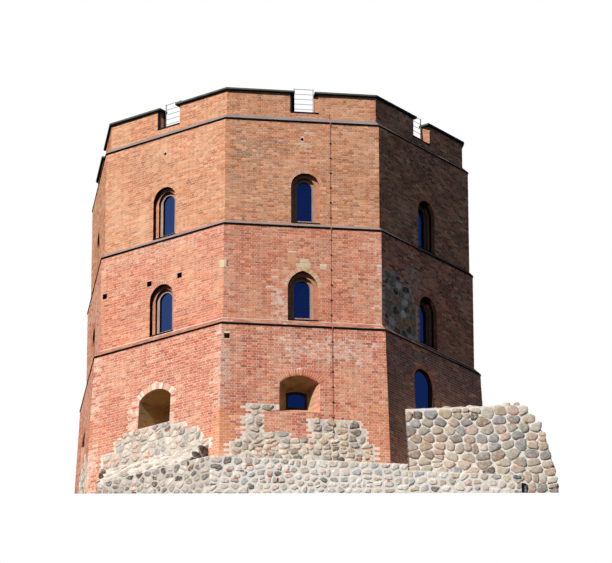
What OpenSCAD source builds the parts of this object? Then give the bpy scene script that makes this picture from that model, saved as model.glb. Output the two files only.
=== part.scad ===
// Octagonal brick castle tower of three storeys, each set back above a sloped ledge, under a crenellated
// parapet, on a rubble plinth with the stub of a curtain wall. Millimetres, +Z up, front face towards -Y,
// origin on the tower's axis at ground level.

/* [Octagon] */
// Distance between two opposite faces of the upper storey
upper_across = 14480; // [13000:20:16000]
// Step back of the parapet behind the upper storey's face
parapet_step = 205; // [120:5:300]
// Step out of the middle storey below the upper one
middle_step = 120; // [80:5:240]
// Step out of the lower storey's top below the middle one
lower_step = 225; // [120:5:400]
// Distance that each lower face leans out from its top down to the ground
lower_batter = 350; // [0:10:500]

/* [Heights] */
// Height of the lower storey above ground
lower_height = 7310; // [6800:10:9000]
// Height of the middle storey
middle_height = 4170; // [3800:10:5500]
// Height of the upper storey
upper_height = 4450; // [4000:10:6000]
// Height of the parapet wall up to the sills of its gaps
parapet_height = 480; // [350:10:800]
// Height of the merlons above those sills
merlon_height = 800; // [600:10:1200]
// Thickness of the copings on the merlons
coping_thickness = 95; // [60:5:150]

/* [Walls and floors] */
// Thickness of the upper storey's wall
upper_thickness = 1200; // [1100:10:1600]
// Width of the shelf on which each floor bears, where the wall below is thicker
floor_bearing = 200; // [120:10:350]
// Thickness of the floors and the roof deck
floor_thickness = 250; // [150:10:400]
// Open mortar joint between neighbouring lengths of masonry
joint = 0.6; // [0.2:0.1:0.8]

/* [Parapet] */
// Thickness of the parapet wall and the merlons
parapet_thickness = 340; // [280:10:500]
// Width of each gap between merlons at the outer face
gap_width = 1130; // [900:10:1500]
// Distance that each side of a gap closes in towards the inner face
gap_splay = 150; // [0:5:200]
// Overhang of the copings past the merlons' faces
coping_overhang = 90; // [30:5:140]
// Distance that the copings reach over the gaps, from the merlons' outer edges
coping_lap = 175; // [100:5:220]
// Side of the square posts of the railings in the gaps
rail_post = 30; // [20:2:50]
// Distance of the railings from the parapet's inner face
rail_inset = 40; // [20:5:120]
// Height of the lowest bar above the sill
rail_first = 280; // [150:10:350]
// Spacing of the bars
rail_pitch = 210; // [150:10:240]
// Diameter of the bars
rail_bar = 20; // [12:2:28]

/* [Ledges] */
// Overhang of each ledge's drip edge past the wall below
drip_overhang = 30; // [20:2:60]
// Height of the drip edge
drip_height = 30; // [20:2:60]
// Depth of the lip that hangs below the ledge's bed
drip_lip = 16; // [10:2:30]
// Thickness of the hanging lip
drip_lip_thickness = 14; // [8:1:18]
// Rise of the upper ledge's slope
upper_ledge_rise = 245; // [150:5:320]
// Rise of the middle ledge's slope
middle_ledge_rise = 175; // [100:5:240]
// Rise of the lower ledge's slope
lower_ledge_rise = 270; // [150:5:340]

/* [Stepped windows] */
// Width of the outer order of the upper windows
upper_window_width = 1120; // [900:10:1300]
// Height of the upper windows from sill to crown
upper_window_height = 2090; // [1800:10:2400]
// Height of the upper windows' sills above the ledge below them
upper_sill_lift = 10; // [5:5:300]
// Width of the outer order of the middle windows
middle_window_width = 1170; // [950:10:1350]
// Height of the middle windows from sill to crown
middle_window_height = 2040; // [1800:10:2400]
// Rise of the pointed arch over the front middle window
middle_arch_rise = 620; // [560:5:760]
// Radius of each side of that arch
middle_arch_radius = 820; // [760:10:1200]
// Distance of the inner order's crown below that arch's apex
apex_drop = 215; // [150:5:300]
// Height of the middle windows' sills above the ledge below them
middle_sill_lift = 40; // [10:5:300]
// Width of the tall lower window
tall_window_width = 1250; // [1000:10:1400]
// Distance of the tall lower window's crown below the storey's top
tall_window_drop = 890; // [700:10:1200]
// Height of the tall lower window from sill to crown
tall_window_height = 1870; // [1600:10:2000]
// Sideways offset of the tall lower window on its face
tall_window_offset = -780; // [-1000:10:0]
// Depth of the tall lower window's frame behind the wall's face
tall_reveal = 70; // [60:5:150]
// Sideways offset of the upper windows and the gaps on the front and front right faces
window_offset = 120; // [-200:10:200]
// Width of the step between the outer and the inner order
order_step = 145; // [80:5:200]
// Depth of the outer order
outer_reveal = 170; // [100:5:250]
// Depth of the inner order in front of the frame
inner_reveal = 105; // [60:5:200]

/* [Small holes] */
// Diameter of the round drain holes in the upper storey
drain_diameter = 125; // [80:5:160]
// Distance of the drain holes below the parapet
drain_drop = 730; // [500:10:1200]
// Side of the square putlog holes
putlog_side = 220; // [150:10:280]
// Height of the putlog holes above the crowns of the middle windows
putlog_rise = 170; // [150:10:400]
// Distance of the holes beside a corner from that corner
putlog_corner = 200; // [160:10:500]
// Distance of the inner putlog holes from the face's middle, on its left
putlog_left = 620; // [500:10:1200]
// The same on its right
putlog_right = 880; // [500:10:1600]
// Distance of the corner hole in the lower storey below that storey's top
corner_hole_drop = 510; // [300:10:900]
// Depth of the small holes
hole_depth = 350; // [200:10:600]

/* [Splayed embrasures] */
// Width of the lower embrasures at the wall's face
embrasure_width = 1550; // [1300:10:1800]
// Height of their springing above the sill
embrasure_spring = 1140; // [1000:10:1300]
// Rise of their segmental arch
embrasure_rise = 335; // [200:5:450]
// Height of their sills above ground
embrasure_sill = 3820; // [3000:10:4200]
// Sideways offset of the front embrasure on its face
embrasure_offset = -180; // [-400:10:400]
// Depth of the splay in front of the small window
embrasure_depth = 900; // [700:10:1100]
// Width of the small window at the end of the splay
small_window_width = 800; // [600:10:1000]
// Rise of the sill along the splay
embrasure_sill_climb = 400; // [200:10:500]
// Fall of the arch along the splay
embrasure_arch_fall = 350; // [150:10:400]
// Depth of the blind niche
niche_depth = 1350; // [900:10:1500]
// Width of the blind niche at its back
niche_back_width = 1180; // [900:10:1300]

/* [Frames and glass] */
// Width of the window frames' face
frame_face = 130; // [70:5:160]
// Width of the tall window's frame face
tall_frame_face = 90; // [50:5:130]
// Width of the small windows' frame face
small_frame_face = 75; // [40:5:110]
// Depth of the window frames
frame_depth = 140; // [90:5:200]
// Distance of the glass behind the frame's face
glass_setback = 60; // [20:5:70]
// Thickness of the glass
glass_thickness = 16; // [8:1:20]
// Clearance round the frames and the glass
fit_gap = 0.3; // [0.2:0.1:0.6]
// Height of the window sills at the wall's face
sill_front = 34; // [20:2:60]
// Height of the window sills at the back
sill_back = 66; // [50:2:90]
// Overhang of the sill's nose past the wall
sill_nose = 22; // [0:2:30]

/* [Rubble masonry] */
// Distance that the plinth stands out from the tower's foot
plinth_projection = 1065; // [700:5:1700]
// Height of the plinth's outer face
plinth_height = 1480; // [900:10:1700]
// Height at which the plinth's sloped capping meets the tower
plinth_cap_height = 2500; // [1900:10:2900]
// Length of the plinth on the front left face, from the middle of the face to its broken end
plinth_reach = 2250; // [1800:10:2700]
// Distance by which the plinth's broken end leans back at the outer face
plinth_break = 550; // [0:10:900]
// Distance of the capping's right end from the middle of the front left face
capping_reach = 2700; // [2200:10:3000]
// Distance of the curtain wall's front behind the front of the tower's foot
stub_setback = 975; // [500:5:1300]
// Thickness of the curtain wall
stub_thickness = 2000; // [1400:20:2400]
// Distance of the curtain wall's top beside the tower below the tall window's sill
stub_drop = 250; // [150:10:600]
// Rise of the curtain wall's top towards its broken end
stub_top_rise = 460; // [0:10:600]
// Length of the curtain wall's foot, from the tower's axis
stub_length = 9800; // [9200:20:11000]
// Distance by which the broken end leans back at the top
stub_break = 1350; // [600:10:1800]
// Height of the low wall in front of the curtain wall
low_wall_height = 1230; // [700:10:1450]
// Length of the low wall, from the tower's axis
low_wall_length = 8030; // [7000:20:9000]

/* [Lightning conductor] */
// Sideways place of the strap on the front face
strap_offset = 1100; // [900:10:2000]
// Width of the strap
strap_width = 40; // [20:2:60]
// Thickness of the strap
strap_thickness = 12; // [6:1:20]
// Height over which the strap returns to the wall under a ledge
strap_return = 160; // [80:10:300]

/* [Hidden] */
$fn = 64;
SIDES = 8;
TURN = 360 / SIDES;
half_tan = tan(TURN / 2);
FACES = ["front", "front_right", "right", "back_right", "back", "back_left", "left", "front_left"];
FRONT = 0;
FRONT_RIGHT = 1;
FRONT_LEFT = SIDES - 1;
function lower_kind(i) = i == FRONT_RIGHT ? "tall" : i == FRONT_LEFT ? "niche" : "embrasure";
function window_shift(i) = i <= FRONT_RIGHT ? window_offset : 0;

upper_a = upper_across / 2;
parapet_a = upper_a - parapet_step;
middle_a = upper_a + middle_step;
lower_top_a = middle_a + lower_step;
lower_base_a = lower_top_a + lower_batter;
plinth_apothem = lower_base_a + plinth_projection;
upper_in = upper_a - upper_thickness;
middle_in = upper_in - floor_bearing;
lower_in = middle_in - floor_bearing;
parapet_in = parapet_a - parapet_thickness;
function lower_a(z) = lower_base_a - lower_batter * z / lower_height;

middle_bed = lower_height;
upper_bed = middle_bed + middle_height;
parapet_bed = upper_bed + upper_height;
sill_bed = parapet_bed + parapet_height;
upper_window_sill = drip_height + middle_ledge_rise + upper_sill_lift;
middle_window_sill = drip_height + lower_ledge_rise + middle_sill_lift;
coping_bed = sill_bed + merlon_height;

reach = 2 * lower_base_a;
overcut = 600;
deep = lower_base_a;
embrasure_face = lower_a(embrasure_sill + embrasure_spring / 2);
tall_window_sill = lower_height - tall_window_drop - tall_window_height;
tall_face = lower_a(tall_window_sill + tall_window_height / 2);
stub_height = tall_window_sill - stub_drop;
small_window_sill = embrasure_sill + embrasure_sill_climb;
small_window_height = embrasure_spring + embrasure_rise - embrasure_arch_fall - embrasure_sill_climb;
small_arch_rise = small_window_width / 10;
frame_reveal = outer_reveal + inner_reveal;
inner_width = upper_window_width - 2 * order_step;
middle_inner_width = middle_window_width - 2 * order_step;
upper_crown = upper_window_height - order_step;
function middle_crown(i) = middle_window_height - (i == FRONT ? apex_drop : order_step);
PUTLOGS = [putlog_corner - middle_a * half_tan, -putlog_left, putlog_right];
gap_half = gap_width / 2;
lap_half = gap_half - coping_lap;
post_x = min(gap_half - gap_splay, lap_half) - rail_post / 2 - fit_gap;
rail_bars = 5;
rail_rise = rail_first + (rail_bars - 1) * rail_pitch + rail_bar / 2;
stub_front = lower_base_a - stub_setback;
stub_back = stub_front - stub_thickness;

brick_red = [0.72, 0.42, 0.30];
brick_tan = [0.80, 0.52, 0.37];
ledge_grey = [0.62, 0.56, 0.54];
coping_dark = [0.13, 0.13, 0.13];
floor_grey = [0.55, 0.52, 0.48];
frame_beige = [0.70, 0.58, 0.50];
glass_blue = [0.07, 0.14, 0.36];
rubble_grey = [0.60, 0.55, 0.50];

// Turns a shape drawn at the front so that it sits on face i
module on_face(i) {
    rotate(i * TURN) children();
}

// Repeats a shape drawn at the front on every face
module on_every_face() {
    for (i = [0 : SIDES - 1]) on_face(i) children();
}

// Repeats a shape drawn at the front in line with the upper window of every face
module in_line_with_windows() {
    for (i = [0 : SIDES - 1]) on_face(i) translate([window_shift(i), 0, 0]) children();
}

// Octagonal prism with its faces at distance a from the axis
module octagon(a, height) {
    rotate(TURN / 2) cylinder(r = a / cos(TURN / 2), h = height, $fn = SIDES);
}

// Space of one face between the two mitre planes, half a joint short of each
module mitre_wedge() {
    tip = joint / 2 / sin(TURN / 2);
    linear_extrude(4 * (coping_bed + coping_thickness), center = true)
        polygon([[0, -tip], [(reach - tip) * half_tan, -reach], [-(reach - tip) * half_tan, -reach]]);
}

// One length of masonry at the front, from its section of [y, z] points, mitred at both ends
module mitred(section) {
    intersection() {
        rotate([90, 0, 90]) linear_extrude(2 * reach, center = true) polygon(section);
        mitre_wedge();
    }
}

// Section of an upright wall
function wall_section(outer, inner, bed, height) =
    [[-outer, bed], [-inner, bed], [-inner, bed + height], [-outer, bed + height]];

// Carries an upright outline of [x, z] points from distance near to distance far in front of the axis
module carried(near, far) {
    rotate([90, 0, 0]) translate([0, 0, near]) linear_extrude(far - near) children();
}

// Outline of an opening under a round arch
module round_arch(width, height) {
    spring = height - width / 2;
    translate([-width / 2, 0]) square([width, spring]);
    translate([0, spring]) circle(d = width);
}

// Outline of an opening under a pointed arch, each side an arc from the springing to the apex
module pointed_arch(width, height, rise, radius) {
    spring = height - rise;
    chord = sqrt(pow(width / 2, 2) + pow(rise, 2));
    sagitta_leg = sqrt(pow(radius, 2) - pow(chord / 2, 2));
    centre_x = sagitta_leg * rise / chord - width / 4;
    centre_z = spring + rise / 2 - sagitta_leg * width / 2 / chord;
    translate([-width / 2, 0]) square([width, (spring + centre_z) / 2]);
    intersection() {
        translate([centre_x, centre_z]) circle(r = radius);
        translate([-centre_x, centre_z]) circle(r = radius);
        translate([-width / 2, centre_z]) square([width, height]);
    }
}

// Outline of an opening under a segmental arch
module segmental_arch(width, spring, rise) {
    radius = (pow(width / 2, 2) + pow(rise, 2)) / (2 * rise);
    centre_z = spring + rise - radius;
    lift = max(0, centre_z);
    translate([-width / 2, 0]) square([width, (spring + lift) / 2]);
    intersection() {
        translate([0, centre_z]) circle(r = radius);
        translate([-width / 2, lift]) square([width, spring + rise]);
    }
}

// Outline of a stepped window's inner order, inset all round
module inner_order(width, crown, inset) {
    translate([0, sill_back + inset]) round_arch(width - 2 * inset, crown - sill_back - 2 * inset);
}

// Opening of a stepped window with its inner order; the child is the outline of the outer order
module stepped_opening(face, bed, inner_w, crown) {
    translate([0, 0, bed]) {
        carried(face - outer_reveal, face + overcut) children();
        carried(0, face - outer_reveal + 1) inner_order(inner_w, crown, 0);
    }
}

module upper_opening() {
    stepped_opening(upper_a, upper_bed + upper_window_sill, inner_width, upper_crown)
        round_arch(upper_window_width, upper_window_height);
}

// Only the front face has a pointed outer arch
module middle_opening(i) {
    stepped_opening(middle_a, middle_bed + middle_window_sill, middle_inner_width, middle_crown(i))
        if (i == FRONT)
            pointed_arch(middle_window_width, middle_window_height, middle_arch_rise, middle_arch_radius);
        else
            round_arch(middle_window_width, middle_window_height);
}

module tall_opening() {
    translate([tall_window_offset, 0, tall_window_sill]) carried(0, tall_face + overcut)
        round_arch(tall_window_width, tall_window_height);
}

// Blind hole in the front face, at a place along it and a height
module blind_hole(face, along, height) {
    translate([along, 0, height]) carried(face - hole_depth, face + overcut) children();
}

// Funnel of an embrasure: sides that close in, a sill that climbs and an arch that falls towards the inside
module funnel(depth, back_width, climb, fall) {
    out_half = embrasure_width / 2 + overcut * (embrasure_width - back_width) / 2 / depth;
    intersection() {
        translate([0, 0, embrasure_sill - deep]) linear_extrude(2 * deep) polygon([
            [-out_half, -embrasure_face - overcut], [out_half, -embrasure_face - overcut],
            [back_width / 2, -embrasure_face + depth], [-back_width / 2, -embrasure_face + depth]]);
        rotate([90, 0, 90]) linear_extrude(reach, center = true) polygon([
            [-embrasure_face - overcut, embrasure_sill - climb * overcut / depth],
            [-embrasure_face + depth, embrasure_sill + climb],
            [-embrasure_face + depth, embrasure_sill + deep],
            [-embrasure_face - overcut, embrasure_sill + deep]]);
        translate([0, -embrasure_face, embrasure_sill]) rotate([-atan(fall / depth), 0, 0])
            translate([0, 0, -embrasure_spring]) carried(-2 * depth, 2 * overcut)
                segmental_arch(embrasure_width, 2 * embrasure_spring, embrasure_rise);
    }
}

module embrasure_opening(offset) {
    translate([offset, 0, 0]) {
        funnel(embrasure_depth, small_window_width, embrasure_sill_climb, embrasure_arch_fall);
        translate([0, 0, small_window_sill]) carried(0, embrasure_face - embrasure_depth + 1)
            segmental_arch(small_window_width, small_window_height - small_arch_rise, small_arch_rise);
    }
}

module lower_opening(i) {
    if (lower_kind(i) == "embrasure") embrasure_opening(i == FRONT ? embrasure_offset : 0);
    if (lower_kind(i) == "tall") tall_opening();
    if (lower_kind(i) == "niche") funnel(niche_depth, niche_back_width, 0, embrasure_rise / 3);
}

module lower_wall(i) {
    color(brick_red) on_face(i) difference() {
        mitred([[-lower_base_a, 0], [-lower_in, 0], [-lower_in, lower_height], [-lower_top_a, lower_height]]);
        lower_opening(i);
        if (i == FRONT)
            blind_hole(lower_top_a, putlog_corner - lower_top_a * half_tan, lower_height - corner_hole_drop)
                square(putlog_side, center = true);
    }
}

module middle_wall(i) {
    color(brick_red) on_face(i) difference() {
        mitred(wall_section(middle_a, middle_in, middle_bed, middle_height));
        middle_opening(i);
        if (i > FRONT_RIGHT) for (along = PUTLOGS)
            blind_hole(middle_a, along, middle_bed + middle_window_sill + middle_window_height + putlog_rise)
                square(putlog_side, center = true);
    }
}

module upper_wall(i) {
    color(brick_tan) on_face(i) difference() {
        mitred(wall_section(upper_a, upper_in, upper_bed, upper_height));
        translate([window_shift(i), 0, 0]) upper_opening();
        blind_hole(upper_a, 0, parapet_bed - drain_drop) circle(d = drain_diameter);
    }
}

// Section of a sloped ledge with its drip lip, from the wall below to the wall above
function ledge_section(below, above, bed, rise) = let (edge = below + drip_overhang) [
    [-edge, bed - drip_lip], [-edge + drip_lip_thickness, bed - drip_lip], [-edge + drip_lip_thickness, bed],
    [-above, bed], [-above, bed + drip_height + rise], [-edge, bed + drip_height]];

module lower_ledge() {
    color(ledge_grey) on_every_face()
        mitred(ledge_section(lower_top_a, middle_a, middle_bed, lower_ledge_rise));
}

module middle_ledge() {
    color(ledge_grey) on_every_face()
        mitred(ledge_section(middle_a, upper_a, upper_bed, middle_ledge_rise));
}

module upper_ledge() {
    color(ledge_grey) on_every_face()
        mitred(ledge_section(upper_a, parapet_a, parapet_bed, upper_ledge_rise));
}

module parapet_wall() {
    color(brick_tan) on_every_face()
        mitred(wall_section(parapet_a, parapet_in, parapet_bed, parapet_height));
}

// Plan of one splayed gap in the parapet, drawn past both faces by half its depth
module gap_plan() {
    past = parapet_thickness / 2;
    out_half = gap_half + gap_splay / 2;
    in_half = gap_half - 1.5 * gap_splay;
    polygon([[-out_half, -parapet_a - past], [out_half, -parapet_a - past],
        [in_half, -parapet_in + past], [-in_half, -parapet_in + past]]);
}

// Plan of the space between two copings, which lap over the gap
module lap_plan() {
    translate([-lap_half, -reach]) square([2 * lap_half, reach]);
}

// Eight corner pieces of an octagonal ring, parted in line with the windows by the child, a plan
module corner_pieces(outer, inner, bed, height) {
    difference() {
        translate([0, 0, bed]) octagon(outer, height);
        translate([0, 0, bed - height]) octagon(inner, 3 * height);
        translate([0, 0, bed - height]) in_line_with_windows() linear_extrude(3 * height) children();
    }
}

module merlons() {
    color(brick_tan) corner_pieces(parapet_a, parapet_in, sill_bed, merlon_height) gap_plan();
}

module merlon_copings() {
    color(coping_dark) corner_pieces(parapet_a + coping_overhang, parapet_in - coping_overhang / 2,
        coping_bed, coping_thickness) lap_plan();
}

// Railing across one gap: two posts on the sill and level bars between them
module gap_railing() {
    translate([0, -parapet_in - rail_inset - rail_post / 2, sill_bed]) {
        for (side = [-1, 1]) translate([side * post_x - rail_post / 2, -rail_post / 2, 0])
            cube([rail_post, rail_post, rail_rise + rail_bar / 2]);
        for (k = [0 : rail_bars - 1]) translate([-post_x, 0, rail_first + k * rail_pitch])
            rotate([0, 90, 0]) cylinder(d = rail_bar, h = 2 * post_x);
    }
}

module gap_railings() {
    color(coping_dark) in_line_with_windows() gap_railing();
}

module floor_slab(inner, bed) {
    color(floor_grey) translate([0, 0, bed]) octagon(inner - fit_gap, floor_thickness);
}

module ground_floor() {
    floor_slab(lower_in, 0);
}

module middle_floor() {
    floor_slab(middle_in, middle_bed);
}

module upper_floor() {
    floor_slab(upper_in, upper_bed);
}

module roof_deck() {
    floor_slab(parapet_in, parapet_bed);
}

// Arched frame on the front face, with its front at a distance from the axis
module arched_frame(front, bed, width, crown, rim) {
    translate([0, 0, bed]) difference() {
        carried(front - frame_depth, front) inner_order(width, crown, fit_gap);
        carried(front - frame_depth - 1, front + 1) inner_order(width, crown, rim);
    }
}

// Pane of such a frame
module arched_pane(front, bed, width, crown, rim) {
    translate([0, 0, bed]) carried(front - glass_setback - glass_thickness, front - glass_setback)
        inner_order(width, crown, rim + fit_gap);
}

// Outline of a small window's opening, inset all round
module small_outline(inset) {
    translate([0, inset]) segmental_arch(small_window_width - 2 * inset,
        small_window_height - small_arch_rise - 2 * inset, small_arch_rise);
}

module small_frame() {
    front = embrasure_face - embrasure_depth;
    translate([0, 0, small_window_sill]) difference() {
        carried(front - frame_depth, front) small_outline(fit_gap);
        carried(front - frame_depth - 1, front + 1) small_outline(small_frame_face);
    }
}

module small_pane() {
    front = embrasure_face - embrasure_depth - glass_setback;
    translate([0, 0, small_window_sill])
        carried(front - glass_thickness, front) small_outline(small_frame_face + fit_gap);
}

// Places a small window's piece in each embrasure of the lower storey
module in_embrasures() {
    for (i = [0 : SIDES - 1]) if (lower_kind(i) == "embrasure")
        on_face(i) translate([i == FRONT ? embrasure_offset : 0, 0, 0]) children();
}

module lower_window_frames() {
    color(frame_beige) {
        in_embrasures() small_frame();
        on_face(FRONT_RIGHT) translate([tall_window_offset, 0, 0])
            arched_frame(tall_face - tall_reveal, tall_window_sill, tall_window_width, tall_window_height,
                tall_frame_face);
    }
}

module lower_window_glass() {
    color(glass_blue) {
        in_embrasures() small_pane();
        on_face(FRONT_RIGHT) translate([tall_window_offset, 0, 0])
            arched_pane(tall_face - tall_reveal, tall_window_sill, tall_window_width, tall_window_height,
                tall_frame_face);
    }
}

module middle_window_frames() {
    color(frame_beige) for (i = [0 : SIDES - 1]) on_face(i)
        arched_frame(middle_a - frame_reveal, middle_bed + middle_window_sill, middle_inner_width,
            middle_crown(i), frame_face);
}

module middle_window_glass() {
    color(glass_blue) for (i = [0 : SIDES - 1]) on_face(i)
        arched_pane(middle_a - frame_reveal, middle_bed + middle_window_sill, middle_inner_width,
            middle_crown(i), frame_face);
}

module upper_window_frames() {
    color(frame_beige) in_line_with_windows()
        arched_frame(upper_a - frame_reveal, upper_bed + upper_window_sill, inner_width,
            upper_crown, frame_face);
}

module upper_window_glass() {
    color(glass_blue) in_line_with_windows()
        arched_pane(upper_a - frame_reveal, upper_bed + upper_window_sill, inner_width,
            upper_crown, frame_face);
}

// Sloped sill in the outer order of a stepped window
module window_sill(face, bed, width) {
    translate([0, 0, bed]) rotate([90, 0, 90]) linear_extrude(width - 2 * fit_gap, center = true) polygon([
        [-face - sill_nose, 0], [-face + outer_reveal - fit_gap, 0],
        [-face + outer_reveal - fit_gap, sill_back], [-face - sill_nose, sill_front]]);
}

module window_sills() {
    color(coping_dark) {
        in_line_with_windows() window_sill(upper_a, upper_bed + upper_window_sill, upper_window_width);
        on_every_face() window_sill(middle_a, middle_bed + middle_window_sill, middle_window_width);
        on_face(FRONT_RIGHT) translate([tall_window_offset, 0, 0])
            window_sill(tall_face, tall_window_sill, tall_window_width);
    }
}

// Solid outline of the battered lower storey, which the rubble masonry is built against
module lower_outline() {
    intersection_for (i = [0 : SIDES / 2 - 1]) rotate(i * TURN) rotate([90, 0, 90])
        linear_extrude(2 * reach, center = true) polygon([
            [-lower_base_a, 0], [lower_base_a, 0],
            [lower_top_a, lower_height], [-lower_top_a, lower_height]]);
}

// Section of the plinth; the capping climbs to the tower's face where it has one
function plinth_section(cap) = [[-lower_base_a, 0], [-plinth_apothem, 0], [-plinth_apothem, plinth_height],
    [-lower_a(cap), cap]];

// Space in front of the front left face from the plinth's broken end to a place right of the middle
module plinth_stretch(right) {
    linear_extrude(2 * plinth_cap_height, center = true) polygon([
        [right, -lower_top_a], [-plinth_reach, -lower_top_a], [-plinth_reach, -lower_base_a],
        [plinth_break - plinth_reach, -plinth_apothem], [plinth_break - plinth_reach, -reach],
        [right, -reach]]);
}

module rubble_plinth() {
    color(rubble_grey) {
        on_face(FRONT) mitred(plinth_section(plinth_height));
        on_face(FRONT_LEFT) {
            intersection() {
                mitred(plinth_section(plinth_height));
                plinth_stretch(reach);
            }
            intersection() {
                mitred(plinth_section(plinth_cap_height));
                plinth_stretch(capping_reach);
            }
        }
    }
}

module low_rubble_wall() {
    back = stub_front + joint;
    color(rubble_grey) difference() {
        linear_extrude(low_wall_height) polygon([
            [plinth_apothem * half_tan + joint, -plinth_apothem], [low_wall_length, -plinth_apothem],
            [low_wall_length, -back], [back * half_tan + joint, -back]]);
        lower_outline();
    }
}

// Broken end of the curtain wall, as shares of the break's depth and of the top's height
STUB_END = [[0, 0], [0, 0.36], [0.35, 0.75], [0.75, 0.93], [1, 1]];

module curtain_wall_stub() {
    top = stub_height + stub_top_rise;
    broken_end = [for (p = STUB_END) [stub_length - p[0] * stub_break, p[1] * top]];
    color(rubble_grey) difference() {
        carried(stub_back, stub_front)
            polygon(concat([[0, 0]], broken_end, [[stub_front * half_tan, stub_height], [0, stub_height]]));
        lower_outline();
    }
}

// Path of the strap's back down the front face, as [distance from the axis, height] points
function strap_path() = concat(
    [[parapet_a, sill_bed], [parapet_a, parapet_bed + drip_height + upper_ledge_rise]],
    strap_over(upper_a, parapet_bed),
    [[upper_a, upper_bed + drip_height + middle_ledge_rise]],
    strap_over(middle_a, upper_bed),
    [[middle_a, middle_bed + drip_height + lower_ledge_rise]],
    strap_over(lower_top_a, middle_bed),
    [[lower_a(plinth_height), plinth_height]]);

// Stretch of the strap over one ledge's drip edge and back to the wall below
function strap_over(below, bed) = let (back = bed - drip_lip - strap_return) [
    [below + drip_overhang, bed + drip_height], [below + drip_overhang, bed - drip_lip],
    [bed > middle_bed ? below : lower_a(back), back]];

module lightning_conductor() {
    path = strap_path();
    last = len(path) - 1;
    color(coping_dark) translate([strap_offset, 0, 0]) rotate([90, 0, 90])
        linear_extrude(strap_width, center = true) polygon(concat(
            [for (p = path) [-p[0], p[1]]],
            [for (k = [last : -1 : 0]) [-path[k][0] - strap_thickness, path[k][1]]]));
}

for (i = [0 : SIDES - 1]) {
    lower_wall(i);
    middle_wall(i);
    upper_wall(i);
}
lower_ledge();
middle_ledge();
upper_ledge();
parapet_wall();
merlons();
merlon_copings();
gap_railings();
ground_floor();
middle_floor();
upper_floor();
roof_deck();
lower_window_frames();
middle_window_frames();
upper_window_frames();
lower_window_glass();
middle_window_glass();
upper_window_glass();
window_sills();
rubble_plinth();
low_rubble_wall();
curtain_wall_stub();
lightning_conductor();
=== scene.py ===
# %% [markdown]
# # An octagonal brick castle tower
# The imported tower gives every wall, window, ledge and coping at its real size. This lesson adds what makes
# it look old: about thirty-seven thousand bricks, field stones in thick mortar, weathered finishes and
# slanting sunlight. The solids stay where they are, and new pieces are laid on them by sizes that are mostly
# read from the frame.

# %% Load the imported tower
import math

import bpy
import numpy as np
from mathutils import Matrix, Vector


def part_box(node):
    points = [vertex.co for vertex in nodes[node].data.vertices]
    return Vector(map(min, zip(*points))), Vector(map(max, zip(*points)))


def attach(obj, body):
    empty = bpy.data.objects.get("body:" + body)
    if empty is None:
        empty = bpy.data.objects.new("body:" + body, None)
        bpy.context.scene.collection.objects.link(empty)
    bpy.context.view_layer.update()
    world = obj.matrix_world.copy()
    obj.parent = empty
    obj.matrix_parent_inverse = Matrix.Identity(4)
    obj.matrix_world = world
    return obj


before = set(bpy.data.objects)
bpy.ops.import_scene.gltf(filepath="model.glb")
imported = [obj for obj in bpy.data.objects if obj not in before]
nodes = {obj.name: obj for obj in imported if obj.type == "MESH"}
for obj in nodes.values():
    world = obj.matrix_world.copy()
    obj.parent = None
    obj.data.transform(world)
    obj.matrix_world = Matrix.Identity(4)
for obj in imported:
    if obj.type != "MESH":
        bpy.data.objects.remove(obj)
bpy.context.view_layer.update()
bpy.context.scene.view_settings.view_transform = "Standard"

# %% [markdown]
# ## Reading the sizes
# An octagon is easiest to work with by its apothem, the distance from the axis to a face. A node's box
# gives it at once for an upright wall. The lower storey leans back, so its apothem is read at the foot and
# at the top.

# %% Measure the storeys
FACES = ["front", "front_right", "right", "back_right", "back", "back_left", "left", "front_left"]
FRONT, FRONT_RIGHT, LEFT, FRONT_LEFT = 0, 1, 6, 7
ALL_FACES = range(len(FACES))
TURN = math.pi / 4
HALF_TAN = math.tan(TURN / 2)


def low(node):
    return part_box(node)[0]


def high(node):
    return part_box(node)[1]


def front_at(node, wanted):
    """Distance of a node's foremost point from the axis, among its points that are wanted."""
    return -min(v.co.y for v in nodes[node].data.vertices if wanted(v.co))


UPPER = -low("upper_wall_front").y
MIDDLE = -low("middle_wall_front").y
LOWER_FOOT = -low("lower_wall_front").y
PARAPET = -low("parapet_wall").y
PARAPET_INNER = -low("roof_deck").y
MIDDLE_BED = low("middle_wall_front").z
UPPER_BED = low("upper_wall_front").z
PARAPET_BED = low("parapet_wall").z
SILL_BED = low("merlons").z
COPING_BED = low("merlon_copings").z
COPING_TOP = high("merlon_copings").z
LOWER_TOP = front_at("lower_wall_front", lambda p: p.z > MIDDLE_BED - 0.01)
BATTER = (LOWER_FOOT - LOWER_TOP) / MIDDLE_BED
PLINTH = -low("rubble_plinth").y
PLINTH_HEIGHT = max(v.co.z for v in nodes["rubble_plinth"].data.vertices if v.co.y < -PLINTH + 0.01)
PLINTH_CAP = high("rubble_plinth").z
LOW_WALL_HEIGHT = high("low_rubble_wall").z
LOW_WALL_END = high("low_rubble_wall").x
STUB_FRONT = -low("curtain_wall_stub").y
STUB_BACK = -high("curtain_wall_stub").y
STUB_END = high("curtain_wall_stub").x
STUB_TOP = high("curtain_wall_stub").z


def upright(distance):
    """The distance of an upright face from the axis, at any height."""
    return lambda z: distance + 0 * z


def lower_face(z):
    """The distance of the lower storey's face, which leans back as it rises."""
    return LOWER_FOOT - BATTER * z


upper_face, middle_face, parapet_face = upright(UPPER), upright(MIDDLE), upright(PARAPET)
inner_parapet_face = upright(-PARAPET_INNER)
print(f"apothems: upper {UPPER:.3f}, middle {MIDDLE:.3f}, lower {LOWER_TOP:.3f} to {LOWER_FOOT:.3f}")
print(f"beds: {MIDDLE_BED:.2f}, {UPPER_BED:.2f}, {PARAPET_BED:.2f}, sills {SILL_BED:.2f}")
print(f"top of the copings: {COPING_TOP:.2f}")

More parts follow.
